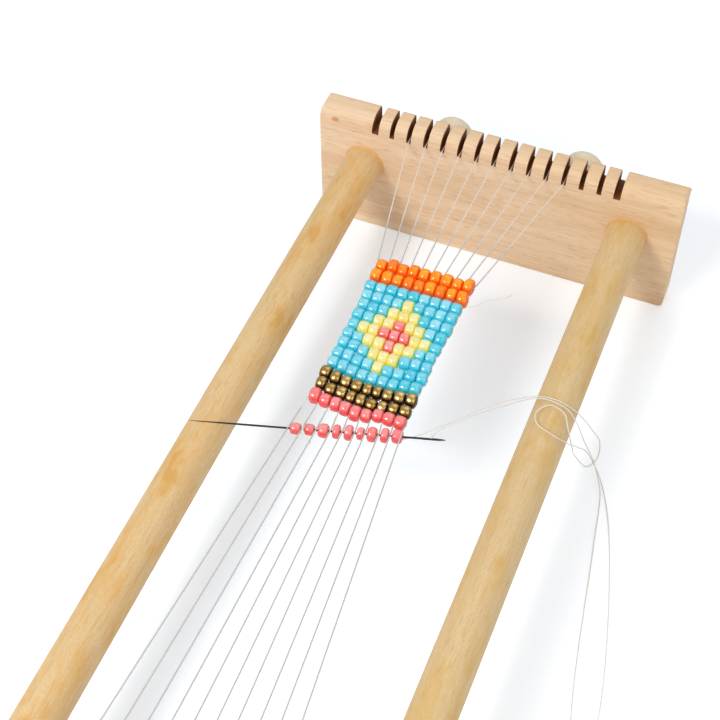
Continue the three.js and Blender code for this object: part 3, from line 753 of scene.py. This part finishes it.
# The working thread comes first: its points are the ones that the solid follows. They are set from the
# last bead, and from the right dowel and the table where they are level with that bead.
AT_DOWEL = np.array([DOWEL_X, LAST_BEAD[1], RAIL_HEIGHT])
AT_TABLE = np.array([DOWEL_X, LAST_BEAD[1], 0.0])
WORKING_ROUTE = np.vstack([
    LAST_BEAD + [[1.6, 0.2, -0.56], [4.6, 2.9, -0.88], [11.7, 11.1, -1.01], [19.5, 20.8, -1.93],
                 [24.6, 26.7, -3.88]],
    AT_DOWEL + [[-4.2, 30.5, 6.9], [0.8, 31.1, 6.75], [5.2, 31.1, 4.8]],
    AT_TABLE + [[7.5, 35.3, 24.0], [9.5, 43.8, 9.0], [11.9, 46.5, 1.1], [12.8, 41.5, 0.6],
                [11.0, 36.9, 1.0], [7.6, 32.9, 9.5]],
    AT_DOWEL + [[7.1, 26.0, -4.0], [5.6, 24.8, 4.1], [3.1, 27.9, 6.6], [-1.2, 28.4, 7.1],
                [-3.8, 25.5, 6.2], [-2.5, 21.9, 6.5], [1.8, 19.8, 6.7], [6.2, 20.9, 3.4]],
    AT_TABLE + [[8.2, 29.8, 18.0], [10.7, 39.1, 3.2], [15.5, 34.3, 0.8], [22.9, 17.8, 0.3],
                [35.7, -38.7, 0.3], [34.3, -50.7, 0.3], [29.9, -41.7, 0.3], [19.9, 13.3, 0.3],
                [16.7, 30.1, 0.8], [12.7, 36.7, 3.6], [9.1, 34.6, 15.0]],
    AT_DOWEL + [[6.2, 29.2, 3.4], [3.2, 29.2, 7.1], [-3.7, 29.2, 7.9]],
    LAST_BEAD + [[21.4, 20.2, -1.33], [15.2, 14.2, -1.2], [9.0, 6.6, -1.15]],
])

# Below the first height the thread lies on the frame, and above the second the needle carries it. The
# upright stretch of thread reaches a hair past both.
LYING_HEIGHT = 38.75
CARRIED_HEIGHT = 39.35
PAST_HEIGHT = 0.02
THREAD_TURN = 0.8
THREAD_LOOP = 0.65


def thread_end():
    """The last of the thread: it turns up beside the eye, stands upright where it passes from the frame
    to the needle, so that the sliding needle draws out a thread as wide as the rest, and loops over
    into the eye. Quarter circle p = foot - r (1 - sin a) heading - r cos a up, half circle
    p = eye + r (1 + cos b) across + r sin b up."""
    up = np.array([0.0, 0.0, 1.0])
    across = np.array([-NEEDLE_AXIS[1], NEEDLE_AXIS[0], 0.0])
    eye = NEEDLE_TIP + EYE_MIDDLE * NEEDLE_AXIS
    eye[2] = CARRIED_HEIGHT + PAST_HEIGHT
    foot = eye + 2 * THREAD_LOOP * across
    foot[2] = LYING_HEIGHT - PAST_HEIGHT
    heading = (foot - WORKING_ROUTE[-1]) * [1, 1, 0]
    heading = heading / np.linalg.norm(heading)
    a = np.linspace(0, np.pi / 2, 9)[:, None]
    b = np.linspace(0, np.pi, 17)[:, None]
    turn = foot - THREAD_TURN * ((1 - np.sin(a)) * heading + np.cos(a) * up)
    loop = eye + THREAD_LOOP * ((1 + np.cos(b)) * across + np.sin(b) * up)
    return np.vstack([turn, loop])


def make_working_thread():
    """One thread from the last bead's bore to the needle's eye."""
    end = thread_end()
    path = np.vstack([smooth_path(np.vstack([WORKING_ROUTE, end[:1]]), 1400), end[1:]])
    piece = make_piece("working_thread_cord", [tube(path, THREAD_RADIUS)], [weft_thread], None,
                       ["working_thread"])
    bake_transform(piece)


make_working_thread()


def make_weft_ends():
    """The cut tail at the right edge, and the end that leads round the left edge under a warp."""
    first_row = np.array([-3.8, 69.3, WARP_HEIGHT])
    last_row = np.array([-3.95, 18.66, WARP_HEIGHT])
    tail = first_row + [[15.2, -6.2, 0.02], [17.0, -4.9, 0.23], [19.0, -2.2, 0.12], [22.3, 0.1, -0.08],
                        [24.9, 3.0, -0.27]]
    end = last_row + [[-13.6, -2.0, 0.48], [-13.6, -4.9, 0.62], [-12.5, -8.0, 1.02],
                      [-11.4, -10.1, 1.23], [-10.1, -12.6, 0.83], [-8.8, -13.7, 0.12],
                      [-7.3, -14.5, -0.58]]
    for node, route, count in (("weft_tail", tail, 80), ("weft_end", end, 90)):
        make_piece(f"{node}_thread", [tube(smooth_path(route, count), THREAD_RADIUS)], [weft_thread],
                   "frame", [node])


make_weft_ends()


# End boards
def slot_x(index):
    """A slot's middle on the far board, counted from the left."""
    return (index - (SLOT_COUNT - 1) / 2) * SLOT_PITCH - COMB_OFFSET


def board_profile():
    """The board from its side, as (y, z) from the inner bottom corner: the upright outer face, a
    quarter round on the outer edge, the flat top and the quarter round of the teeth."""
    outer = np.linspace(0, np.pi / 2, 5)
    inner = np.linspace(np.pi / 2, np.pi, 15)
    corner = [BOARD_THICKNESS - EDGE_ROUND, BOARD_HEIGHT - EDGE_ROUND]
    tooth = [TOOTH_RADIUS, BOARD_HEIGHT - TOOTH_RADIUS]
    return np.vstack([
        [[0, 0], [BOARD_THICKNESS, 0], [BOARD_THICKNESS, SLOT_FLOOR]],
        corner + EDGE_ROUND * np.stack([np.cos(outer), np.sin(outer)], axis=-1),
        tooth + TOOTH_RADIUS * np.stack([np.cos(inner), np.sin(inner)], axis=-1),
        [[0, SLOT_FLOOR]],
    ])


def board_stations():
    """Where the profile stands along X, and the lowest and highest z it may reach there: quarter
    rounds at both ends, and a pair of stations at each wall of a slot, full and cut down."""
    half = BOARD_WIDTH / 2
    angle = np.linspace(0, np.pi / 2, 7)
    inset = CORNER_RADIUS * (1 - np.cos(angle))
    rise = CORNER_RADIUS * (1 - np.sin(angle))
    ends = np.stack([-half + inset, rise, BOARD_HEIGHT - rise], axis=-1)
    index = np.arange(SLOT_COUNT)
    width = np.where((index == 0) | (index == SLOT_COUNT - 1), OUTER_SLOT_WIDTH, SLOT_WIDTH)
    left, right = slot_x(index) - width / 2, slot_x(index) + width / 2
    x = np.stack([left, left, right, right], axis=-1).ravel()
    top = np.tile([BOARD_HEIGHT, SLOT_FLOOR, SLOT_FLOOR, BOARD_HEIGHT], SLOT_COUNT)
    cuts = np.stack([x, np.zeros_like(x), top], axis=-1)
    other = ends[::-1] * [-1, 1, 1]
    return np.vstack([ends, cuts, other])


def end_board(name, node, turn):
    """An end board: the side profile carried along X between its stations, with z held between each
    station's limits. The far board stands as made, and the near one is turned half round. The
    sockets of the dowels and pegs are cut into it, and its edges are eased."""
    profile, stations = board_profile(), board_stations()
    y = np.broadcast_to(profile[:, 0] + INNER_FACE, (len(stations), len(profile)))
    z = np.clip(profile[None, :, 1], stations[:, 1:2], stations[:, 2:3])
    x = np.broadcast_to(stations[:, :1], z.shape)
    points = np.stack([x, y, z], axis=-1).reshape(-1, 3) * [turn, turn, 1]
    quads, _ = grid_faces(len(stations), len(profile))
    ends = np.array([np.arange(len(profile))[::-1],
                     (len(stations) - 1) * len(profile) + np.arange(len(profile))])
    piece = make_piece(name, [surface(points, [quads, ends])], [beech, burnt_and_shaded_beech], "frame", [node])
    shape = bmesh.new()
    shape.from_mesh(piece.data)
    bmesh.ops.remove_doubles(shape, verts=shape.verts, dist=1e-6)
    bmesh.ops.dissolve_degenerate(shape, dist=1e-6, edges=shape.edges)
    bmesh.ops.dissolve_limit(shape, angle_limit=np.radians(1), verts=shape.verts, edges=shape.edges)
    shape.to_mesh(piece.data)
    shape.free()
    for side in (-1, 1):
        cut_round(piece, side * DOWEL_X, RAIL_HEIGHT, DOWEL_RADIUS + GLUE_GAP, INNER_FACE - CUT_PAST,
                  INNER_FACE + TENON + SOCKET_END_GAP, turn, DOWEL_SIDES)
        cut_round(piece, turn * PEG_X[side], PEG_HEIGHT, PEG_TENON_RADIUS + GLUE_GAP,
                  OUTER_FACE - TENON - SOCKET_END_GAP, OUTER_FACE + CUT_PAST, turn, PEG_SIDES)
    # the slot walls and floors take the scorched finish with its painted shade
    burn_and_shade_slots(piece.data)
    shade(piece.data, 30)
    bevel = piece.modifiers.new("eased edges", "BEVEL")
    bevel.width = EASED_EDGE * MM
    bevel.segments = 2
    bevel.limit_method = "ANGLE"
    bevel.angle_limit = np.radians(38)
    bevel.use_clamp_overlap = False
    bevel.harden_normals = True


def cut_round(piece, x, z, radius, start, stop, turn, sides):
    """Takes a round rod along Y out of a piece."""
    rod = turned([[start, 0], [start, radius], [stop, radius], [stop, 0]], sides)
    cut_with(piece, surface(rod["points"][:, [1, 0, 2]] * [1, turn, 1] + [x, 0, z], rod["faces"]))


def burn_and_shade_slots(mesh):
    """Gives the walls and floors of the slots the second finish, scorched wood with painted shade: faces
    that look along X between the board's ends, and faces that look up at the height of the slot floor."""
    count = len(mesh.polygons)
    normal, centre = np.zeros(3 * count), np.zeros(3 * count)
    mesh.polygons.foreach_get("normal", normal)
    mesh.polygons.foreach_get("center", centre)
    normal, centre = normal.reshape(-1, 3), centre.reshape(-1, 3) / MM
    wall = (np.abs(normal[:, 0]) > 0.99) & (np.abs(centre[:, 0]) < BOARD_WIDTH / 2 - 5)
    floor = (normal[:, 2] > 0.99) & (np.abs(centre[:, 2] - SLOT_FLOOR) < 0.05)
    mesh.polygons.foreach_set("material_index", (wall | floor).astype(np.int32))


def cut_with(piece, shape):
    """Takes a closed surface out of a piece, and keeps the cut mesh."""
    mesh = bpy.data.meshes.new("cutter")
    faces = [face for array in shape["faces"] for face in array.tolist()]
    mesh.from_pydata((shape["points"] * MM).tolist(), [], faces)
    cutter = bpy.data.objects.new("cutter", mesh)
    scene.collection.objects.link(cutter)
    cut = piece.modifiers.new("cut", "BOOLEAN")
    cut.operation = "DIFFERENCE"
    cut.solver = "EXACT"
    cut.object = cutter
    evaluated = piece.evaluated_get(bpy.context.evaluated_depsgraph_get())
    done = bpy.data.meshes.new_from_object(evaluated)
    piece.modifiers.remove(cut)
    old, piece.data = piece.data, done
    done.name = old.name + "_cut"
    bpy.data.meshes.remove(old)
    bpy.data.objects.remove(cutter)
    bpy.data.meshes.remove(mesh)


end_board("board_far", "end_board_far", 1)
end_board("board_near", "end_board_near", -1)


# Dowels and pegs
def dowel(name, node, side):
    """A turned rod along Y, which swells and thins by a few hundredths along its length, with eased
    ends in its sockets: radius(y) = R - 0.03 + 0.02 sin(y / 23) + 0.01 sin(y / 9). At each board it
    flares by the glue's fillet, rise (1 - d / reach)^2 for a distance d up to its reach."""
    end = INNER_FACE + TENON
    fillet = INNER_FACE - np.linspace(FILLET_REACH, GLUE_GAP, 8)
    middle = INNER_FACE - FILLET_REACH - 0.3
    y = np.concatenate([[-end + EASED_TENON, -INNER_FACE - GLUE_GAP], -fillet[::-1],
                        np.linspace(-middle, middle, 90), fillet,
                        [INNER_FACE + GLUE_GAP, end - EASED_TENON]])
    radius = DOWEL_RADIUS - 0.03 + 0.02 * np.sin(y / 23 + side) + 0.01 * np.sin(y / 9)
    away = (INNER_FACE - np.abs(y)).clip(0)
    radius += np.where(away > 0, FILLET_RISE * (1 - away / FILLET_REACH).clip(0) ** 2, 0.0)
    eased = DOWEL_RADIUS - EASED_TENON - 0.05
    profile = np.vstack([[[-end, 0], [-end, eased]], np.stack([y, radius], axis=-1),
                         [[end, eased], [end, 0]]])
    rod = turned(profile, DOWEL_SIDES)
    points = rod["points"][:, [1, 0, 2]] + [side * DOWEL_X, 0, RAIL_HEIGHT]
    make_piece(name, [surface(points, rod["faces"], rod["places"])], [dowel_wood[side]], "frame", [node],
               sharp=40)


dowel("rail_left", "dowel_left", -1)
dowel("rail_right", "dowel_right", 1)


def peg(name, node, x, turn):
    """A turned peg: tenon, stem with a small cove under the head, and a domed head whose outline is
    a superellipse, radius = R (1 - u^p)^(1/p) for u from the brim to the crown."""
    u = np.linspace(0, 1, 16)
    dome = np.stack([PEG_STEM_LENGTH + PEG_BRIM_LENGTH + (PEG_HEAD_LENGTH - PEG_BRIM_LENGTH) * u,
                     PEG_HEAD_RADIUS * (1 - u ** PEG_DOME_POWER) ** (1 / PEG_DOME_POWER)], axis=-1)
    v = np.linspace(0, np.pi / 2, 8)
    brim = np.stack([PEG_STEM_LENGTH + PEG_BRIM_LENGTH * np.sin(v),
                     PEG_HEAD_RADIUS - PEG_BRIM_ROUND * (1 - np.sin(v))], axis=-1)[:-1]
    cove = np.stack([PEG_STEM_LENGTH - PEG_COVE * (1 - np.sin(v)),
                     PEG_STEM_RADIUS + PEG_COVE * (1 - np.cos(v))], axis=-1)
    profile = np.vstack([
        [[-TENON, 0], [-TENON, PEG_TENON_RADIUS - 0.3], [-TENON + 0.3, PEG_TENON_RADIUS],
         [SOCKET_END_GAP, PEG_TENON_RADIUS], [SOCKET_END_GAP, PEG_STEM_RADIUS - 0.15],
         [SOCKET_END_GAP + 0.15, PEG_STEM_RADIUS]], cove, brim, dome])
    rod = turned(profile, PEG_SIDES)
    points = (rod["points"][:, [1, 0, 2]] + [0, OUTER_FACE, 0]) * [1, turn, 1] + [x, 0, PEG_HEIGHT]
    make_piece(name, [surface(points, rod["faces"], rod["places"])], [peg_wood], "frame", [node],
               sharp=40)


for far, turn in (("far", 1), ("near", -1)):
    for side, sign in (("left", -1), ("right", 1)):
        peg(f"peg_{far}_{side}_turned", f"peg_{far}_{side}", turn * PEG_X[turn * sign], turn)


# The woven beads: their kinds, and how each one differs from its neighbours
def bead_colours():
    """A colour name for each bead of each row: plain rows, and a diamond with a cross inside it. A
    bead is in the diamond where its columns and rows from the middle add up to the reach or less."""
    names = np.array([[name] * BEADS for name in ROW_COLOURS], dtype=object)
    row, column = np.meshgrid(np.arange(ROWS), np.arange(BEADS), indexing="ij")
    away = np.abs(column - DIAMOND_COLUMN) + np.abs(row - DIAMOND_ROW)
    names[away <= DIAMOND_REACH] = "yellow"
    names[away <= CROSS_REACH] = "coral"
    return names


BEAD_COLOURS = bead_colours()


def lay_out_beads():
    """Bead edges along X, then places along Y, diameters, turns and tones, a value for each bead of
    each row. For the columns c = -4..4 the beads lie at x = centre + pitch c and
    y = place + slope c + bow (c^2 - 20/3), each off it by a hair. The pitch narrows down to the sixth
    row, the slope turns over between the second and the seventh and is gone in the last, and the rows
    from the seventh on begin to bow. The edges, where the warps run, lie midway between neighbours,
    and a bead is as thick as the room to the rows on both sides leaves."""
    random = np.random.default_rng(SCATTER_SEED)
    shape = (ROWS, BEADS)
    row = np.arange(ROWS)
    c = np.arange(BEADS) - (BEADS - 1) / 2
    step = np.array([ROW_STEP[name] for name in ROW_COLOURS])
    place = FIRST_ROW_Y - np.append(0, np.cumsum((step[1:] + step[:-1]) / 2))
    pitch = np.interp(row, [1, 5], [FIRST_PITCH, LAST_PITCH])[:, None]
    slope = np.interp(row, [1, 6, ROWS - 2, ROWS - 1], [FIRST_SLOPE, LAST_SLOPE, LAST_SLOPE, 0])[:, None]
    bow = np.interp(row, [6, 8], [0, ROW_BOW])[:, None]
    loose = np.array([ROW_LOOSENESS.get(name, 1.0) for name in ROW_COLOURS])[:, None]
    x = ROW_CENTRE + c * pitch + loose * random.normal(0, BEAD_SCATTER, shape).clip(-0.3, 0.3)
    y = place[:, None] + slope * c + bow * (c ** 2 - np.mean(c ** 2))
    y = y + random.normal(0, BEAD_SCATTER, shape).clip(-0.4, 0.4)
    y[-1, 6:] = y[-1, 6:].clip(LOOSE_BEADS_CLEAR)
    edges = np.hstack([x[:, :1] - pitch / 2, (x[:, 1:] + x[:, :-1]) / 2, x[:, -1:] + pitch / 2])
    width = np.array([ROW_DIAMETER[name] for name in ROW_COLOURS])
    fill = -np.diff(y, axis=0) / (0.5 * (width[1:] + width[:-1]))[:, None]
    fill = np.vstack([fill[:1], fill, fill[-1:]])
    share = np.minimum(0.5 * (fill[1:] + fill[:-1]), TIGHTEST_FIT * np.minimum(fill[1:], fill[:-1]))
    diameter = width[:, None] * np.clip(share * FULLNESS, THINNEST, THICKEST)
    yaw = random.uniform(-0.09, 0.09, shape)
    tone = np.clip(0.55 + random.uniform(-0.45, 0.45, shape), 0, 1)
    return edges, y, diameter, yaw, tone


BEAD_EDGES, BEAD_Y, BEAD_DIAMETER, BEAD_YAW, BEAD_TONE = lay_out_beads()
BEAD_X = (BEAD_EDGES[:, 1:] + BEAD_EDGES[:, :-1]) / 2
BEAD_LENGTH = np.diff(BEAD_EDGES, axis=1) - BEAD_GAP


def bead(centre, length, diameter, bore, yaw, q, slant, tone, finish=0, sides=BEAD_SIDES):
    """A seed bead along X. Its outline is a superellipse from one end of the bore to the other, x = -h
    sgn(cos a)|cos a|^q, r = bore + (R - bore)|sin a|^q, closed by the straight bore, and its ends slant a
    little: x grows by slant r cos(angle + 40 slant) |x| / h. Its value for painted shade is 0 in the middle
    of the top and 1 at the ends and where it touches the next rows."""
    half, outer, inner = length / 2, diameter / 2, bore / 2
    a = np.linspace(0, np.pi, 13)
    x = -half * np.sign(np.cos(a)) * np.abs(np.cos(a)) ** q
    r = inner + (outer - inner) * np.sin(a).clip(0) ** q
    angles = np.arange(sides) * 2 * np.pi / sides
    along = x[:, None] + slant * r[:, None] * np.cos(angles + 40 * slant) * np.abs(x[:, None] / half)
    points = np.stack([along, r[:, None] * np.cos(angles), r[:, None] * np.sin(angles)], axis=-1)
    points = points.reshape(-1, 3)
    turn = np.array([[np.cos(yaw), np.sin(yaw), 0], [-np.sin(yaw), np.cos(yaw), 0], [0, 0, 1]])
    quads, counts = grid_faces(len(a), sides, close_rows=True)
    shape = surface(points @ turn + centre, [quads], [counts / [sides, len(a)]], tone, finish)
    ends, flanks = np.broadcast_arrays(np.abs(x[:, None] / half), np.abs(np.cos(angles)))
    # painted shade: 0 in the middle of the top, 1 at the ends and flanks
    shape["painted_rim_shade"] = np.maximum(((ends - 0.5) / 0.5).clip(0), ((flanks - 0.45) / 0.55).clip(0)).ravel()
    return shape


def weft_loop(row):
    """The weft of a row: out above the warps, round the outer warp in a half turn, and back below.
    It follows the middles of its beads, and the half turns are ellipses that stand upright."""
    angle = np.linspace(-np.pi / 2, np.pi / 2, 9)[1:-1]
    outwards, upwards = WEFT_REACH * np.cos(angle), WARP_HEIGHT + WEFT_OFFSET * np.sin(angle)
    left, right = BEAD_EDGES[row, [0, -1]]
    x = np.linspace(left, right, 40)
    y = np.interp(x, BEAD_X[row], BEAD_Y[row])
    top = np.column_stack([x, y, np.full(len(x), WARP_HEIGHT + WEFT_OFFSET)])
    bottom = top[::-1] - [0, 0, 2 * WEFT_OFFSET]
    end = np.column_stack([right + outwards, np.full(len(angle), y[-1]), upwards])[::-1]
    start = np.column_stack([left - outwards, np.full(len(angle), y[0]), upwards])
    return np.vstack([top, end, bottom, start[:-1]])


def woven_row(row):
    """Nine beads and their weft as one piece."""
    names = BEAD_COLOURS[row]
    kinds = sorted(set(names))
    random = np.random.default_rng(ROW_SEED + row)
    parts = []
    for i in range(BEADS):
        centre = [BEAD_X[row, i], BEAD_Y[row, i], WARP_HEIGHT]
        parts.append(bead(centre, BEAD_LENGTH[row, i], BEAD_DIAMETER[row, i], BORE, BEAD_YAW[row, i],
                          ROUNDNESS[names[i]], random.uniform(-0.06, 0.06), BEAD_TONE[row, i],
                          kinds.index(names[i])))
    parts.append(tube(weft_loop(row), WEFT_RADIUS, finish=len(kinds)))
    make_piece(f"row_{row + 1:02d}_beads", parts, [glass[k] for k in kinds] + [weft_thread], "frame",
               [f"bead_row_{row + 1:02d}"])


for row in range(ROWS):
    woven_row(row)


# Warps
def warp_end(slot, peg_x, order):
    """From a winding of one turn on a far peg, off the stem on a tangent, and over the slot's edge to
    the inner face. The winding is a helix, and the edge is a quarter round."""
    radius = PEG_STEM_RADIUS + SEAT
    across, up = slot - peg_x, SLOT_FLOOR - PEG_HEIGHT
    leaving = np.arctan2(up, across) - np.arccos(radius / np.hypot(across, up))
    part = np.linspace(1, 0, 49)
    angle = leaving - part * 2 * np.pi
    y = OUTER_FACE + WINDING_START + order * WINDING_SPACING + part * WINDING_PITCH
    winding = np.stack([peg_x + radius * np.cos(angle), y, PEG_HEIGHT + radius * np.sin(angle)], axis=-1)
    edge = np.linspace(0, np.pi / 2, 7)
    over = np.column_stack([np.full(len(edge), slot), OUTER_FACE + SEAT * np.cos(edge),
                            SLOT_FLOOR + SEAT * np.sin(edge)])
    t = np.linspace(0, 1, 12)[1:-1, None]
    rise = winding[-1] * (1 - t) + over[0] * t
    return np.vstack([winding, rise, over, [[slot, INNER_FACE, WARP_HEIGHT]]])


def warp_at_needle(warp, near_x):
    """Where a warp passes the needle: straight through the gap left of its bead, or lifted over the
    last bead on an arc round it."""
    if warp < BEADS:
        along = NEEDLE_BEAD_ALONG[warp] - (NEEDLE_BEAD_LENGTH[warp] + NEEDLE_BEAD_GAP) / 2
        crossing = LAST_BEAD + along * NEEDLE_AXIS
        return np.array([[crossing[0], crossing[1], WARP_HEIGHT]])
    radius = NEEDLE_BEAD_DIAMETER[-1] / 2 + SEAT
    start = np.array([BEAD_Y[-1, -1] - LAST_BEAD[1], WARP_HEIGHT - NEEDLE_HEIGHT])
    first = np.arctan2(start[1], start[0]) + np.arccos(min(radius / np.hypot(*start), 1.0))
    angle = np.linspace(first, np.pi / 2, 7)
    y = LAST_BEAD[1] + radius * np.cos(angle)
    x = np.interp(y, [-INNER_FACE, BEAD_Y[-1, -1]], [near_x, BEAD_EDGES[-1, warp]])
    return np.stack([x, y, NEEDLE_HEIGHT + radius * np.sin(angle)], axis=-1)


def warp(index):
    """A warp from the far peg through its slot, the weaving, the near slot and round the near peg. It
    is pressed thin where it runs between the beads."""
    side = -1 if index < WARPS_ON_PEG else 1
    order = index % WARPS_ON_PEG
    other_index, other_order = WARPS - 1 - index, WARPS_ON_PEG - 1 - order
    far = warp_end(slot_x(FIRST_SLOT["far"] + index), PEG_X[side], order)
    near = warp_end(slot_x(FIRST_SLOT["near"] + other_index), PEG_X[-side], other_order)
    near = near[::-1] * [-1, -1, 1]
    beside = [max(index - 1, 0), min(index, BEADS - 1)]
    woven = np.column_stack([BEAD_EDGES[:, index], BEAD_Y[:, beside].mean(axis=1),
                             np.full(ROWS, WARP_HEIGHT)])
    at_needle = warp_at_needle(index, near[0, 0])
    above = woven[0] + (far[-1] - woven[0]) * BEAD_DIAMETER[0, 0] / 2 / np.linalg.norm(far[-1] - woven[0])
    below = woven[-1] + (at_needle[0] - woven[-1]) * 0.5
    path = np.vstack([far, above, woven, below, at_needle, near])
    radius = np.full(len(path), WARP_RADIUS)
    radius[len(far) + 1:len(far) + 1 + ROWS] = PRESSED_WARP_RADIUS
    make_piece(f"warp_{index + 1:02d}_thread", [tube(path, radius)], [warp_thread], "frame",
               [f"warp_{index + 1:02d}"])


for index in range(WARPS):
    warp(index)


# The needle and its beads
def needle():
    """A round shaft with a long fine taper to the point, flattened and widened round the eye, where
    y = r (1 + swell) and z = r (1 - flat), and a slot with round ends cut through it."""
    shaft_end = EYE_MIDDLE - 6.0
    s = np.concatenate([np.linspace(0, NEEDLE_TAPER, 24)[1:], np.linspace(NEEDLE_TAPER, shaft_end, 10)[1:],
                        np.linspace(shaft_end, NEEDLE_LENGTH, 44)[1:-1]])
    radius = NEEDLE_RADIUS * np.minimum(1, (s / NEEDLE_TAPER) ** 0.55)
    radius *= np.sqrt(np.clip(1 - ((s - NEEDLE_LENGTH + 2.5) / 2.55).clip(0) ** 2, 0, 1))
    profile = np.vstack([[[0, 0]], np.stack([s, radius], axis=-1), [[NEEDLE_LENGTH, 0]]])
    rod = turned(profile, NEEDLE_SIDES)
    points = rod["points"].copy()
    swell = np.exp(-(((points[:, 0] - EYE_MIDDLE) / EYE_SWELL_LENGTH) ** 4))
    points[:, 1] *= 1 + EYE_SWELL * swell
    points[:, 2] *= 1 - EYE_FLATNESS * swell
    turn = np.array([NEEDLE_AXIS, [-NEEDLE_AXIS[1], NEEDLE_AXIS[0], 0], [0, 0, 1]])
    piece = make_piece("needle_shaft", [surface(points @ turn + NEEDLE_TIP, rod["faces"], rod["places"])],
                       [needle_steel], "needle", ["needle"])
    a = np.linspace(-np.pi / 2, np.pi / 2, 9)
    half = EYE_WIDTH / 2
    end = np.stack([EYE_LENGTH / 2 - half + half * np.cos(a), half * np.sin(a)], axis=-1)
    outline = np.vstack([end, -end]) + [EYE_MIDDLE, 0]
    n = len(outline)
    low = np.column_stack([outline, np.full(n, -2.0)])
    high = np.column_stack([outline, np.full(n, 2.0)])
    sides, _ = grid_faces(2, n)
    caps = np.array([np.arange(n)[::-1], n + np.arange(n)])
    cut_with(piece, surface(np.vstack([low, high]) @ turn + NEEDLE_TIP, [sides, caps]))
    shade(piece.data, 40)


needle()

for i in range(BEADS):
    random = np.random.default_rng(LOOSE_BEAD_SEED + i)
    part = bead(LAST_BEAD + NEEDLE_BEAD_ALONG[i] * NEEDLE_AXIS, NEEDLE_BEAD_LENGTH[i],
                NEEDLE_BEAD_DIAMETER[i], NEEDLE_BEAD_BORE, BEAD_TURN, NEEDLE_BEAD_ROUNDNESS,
                random.uniform(-0.03, 0.03), random.uniform(0.3, 0.9), sides=NEEDLE_BEAD_SIDES)
    make_piece(f"loose_bead_{i + 1}", [part], [glass["pink"]], f"bead_{i + 1}", [f"needle_bead_{i + 1}"])


# Floor and light
def make_floor():
    """A white table that takes the loom's shadow, painted a little cooler between the dowels, against the
    warm light that they cast on it. To the camera it glows a little, so that it shows plain white where it
    is lit, and more on the right, which is painted light that lifts the shadow left of the right dowel."""
    half = FLOOR_SIZE / 2 * MM
    mesh = bpy.data.meshes.new("floor")
    corners = [(-half, -half, 0), (half, -half, 0), (half, half, 0), (-half, half, 0)]
    mesh.from_pydata(corners, [], [(0, 1, 2, 3)])
    floor = bpy.data.objects.new("floor", mesh)
    scene.collection.objects.link(floor)
    material, tree, shader = new_material("floor_white", Roughness=1.0, Specular_IOR_Level=0.0)
    across = object_axis(tree, 0)
    # painted cool tint between the dowels, against their warm bounce light
    bounce_area = ramp(tree, math(tree, "ABSOLUTE", across), 35 * MM, 80 * MM, 1.0, 0.0)
    tree.links.new(blend(tree, bounce_area, FLOOR_TINT, FLOOR_TINT_AGAINST_BOUNCE), shader.inputs["Base Color"])
    shader.inputs["Emission Color"].default_value = (1, 1, 1, 1)
    seen = add(tree, "ShaderNodeLightPath").outputs["Is Camera Ray"]
    # painted light: the floor glows more on the right, lifting the shadow there
    glow_with_painted_light = ramp(tree, across, 17 * MM, 30 * MM, *FLOOR_GLOW_WITH_PAINTED_LIGHT)
    tree.links.new(math(tree, "MULTIPLY", seen, glow_with_painted_light), shader.inputs["Emission Strength"])
    mesh.materials.append(material)


def make_lights():
    """Broad soft lamps to the left, to the right and behind the loom, two small ones in front of it for
    the glints on the glass, and a white surround."""
    world = bpy.data.worlds.new("surround")
    world.use_nodes = True
    world.node_tree.nodes["Background"].inputs[0].default_value = SURROUND_TINT
    world.node_tree.nodes["Background"].inputs[1].default_value = SURROUND
    scene.world = world
    for name, towards, distance, size, power in LAMPS:
        data = bpy.data.lights.new(name, "AREA")
        data.shape = "DISK"
        data.size = size
        data.energy = power
        lamp = bpy.data.objects.new(name, data)
        aim = -np.array(towards) / np.linalg.norm(towards)
        side = np.cross(aim, [0, 0, 1])
        side /= np.linalg.norm(side)
        lamp.matrix_world = stand(side, np.cross(side, aim), -aim, -distance * aim)
        scene.collection.objects.link(lamp)


make_floor()
make_lights()
scene.view_settings.view_transform = "Standard"
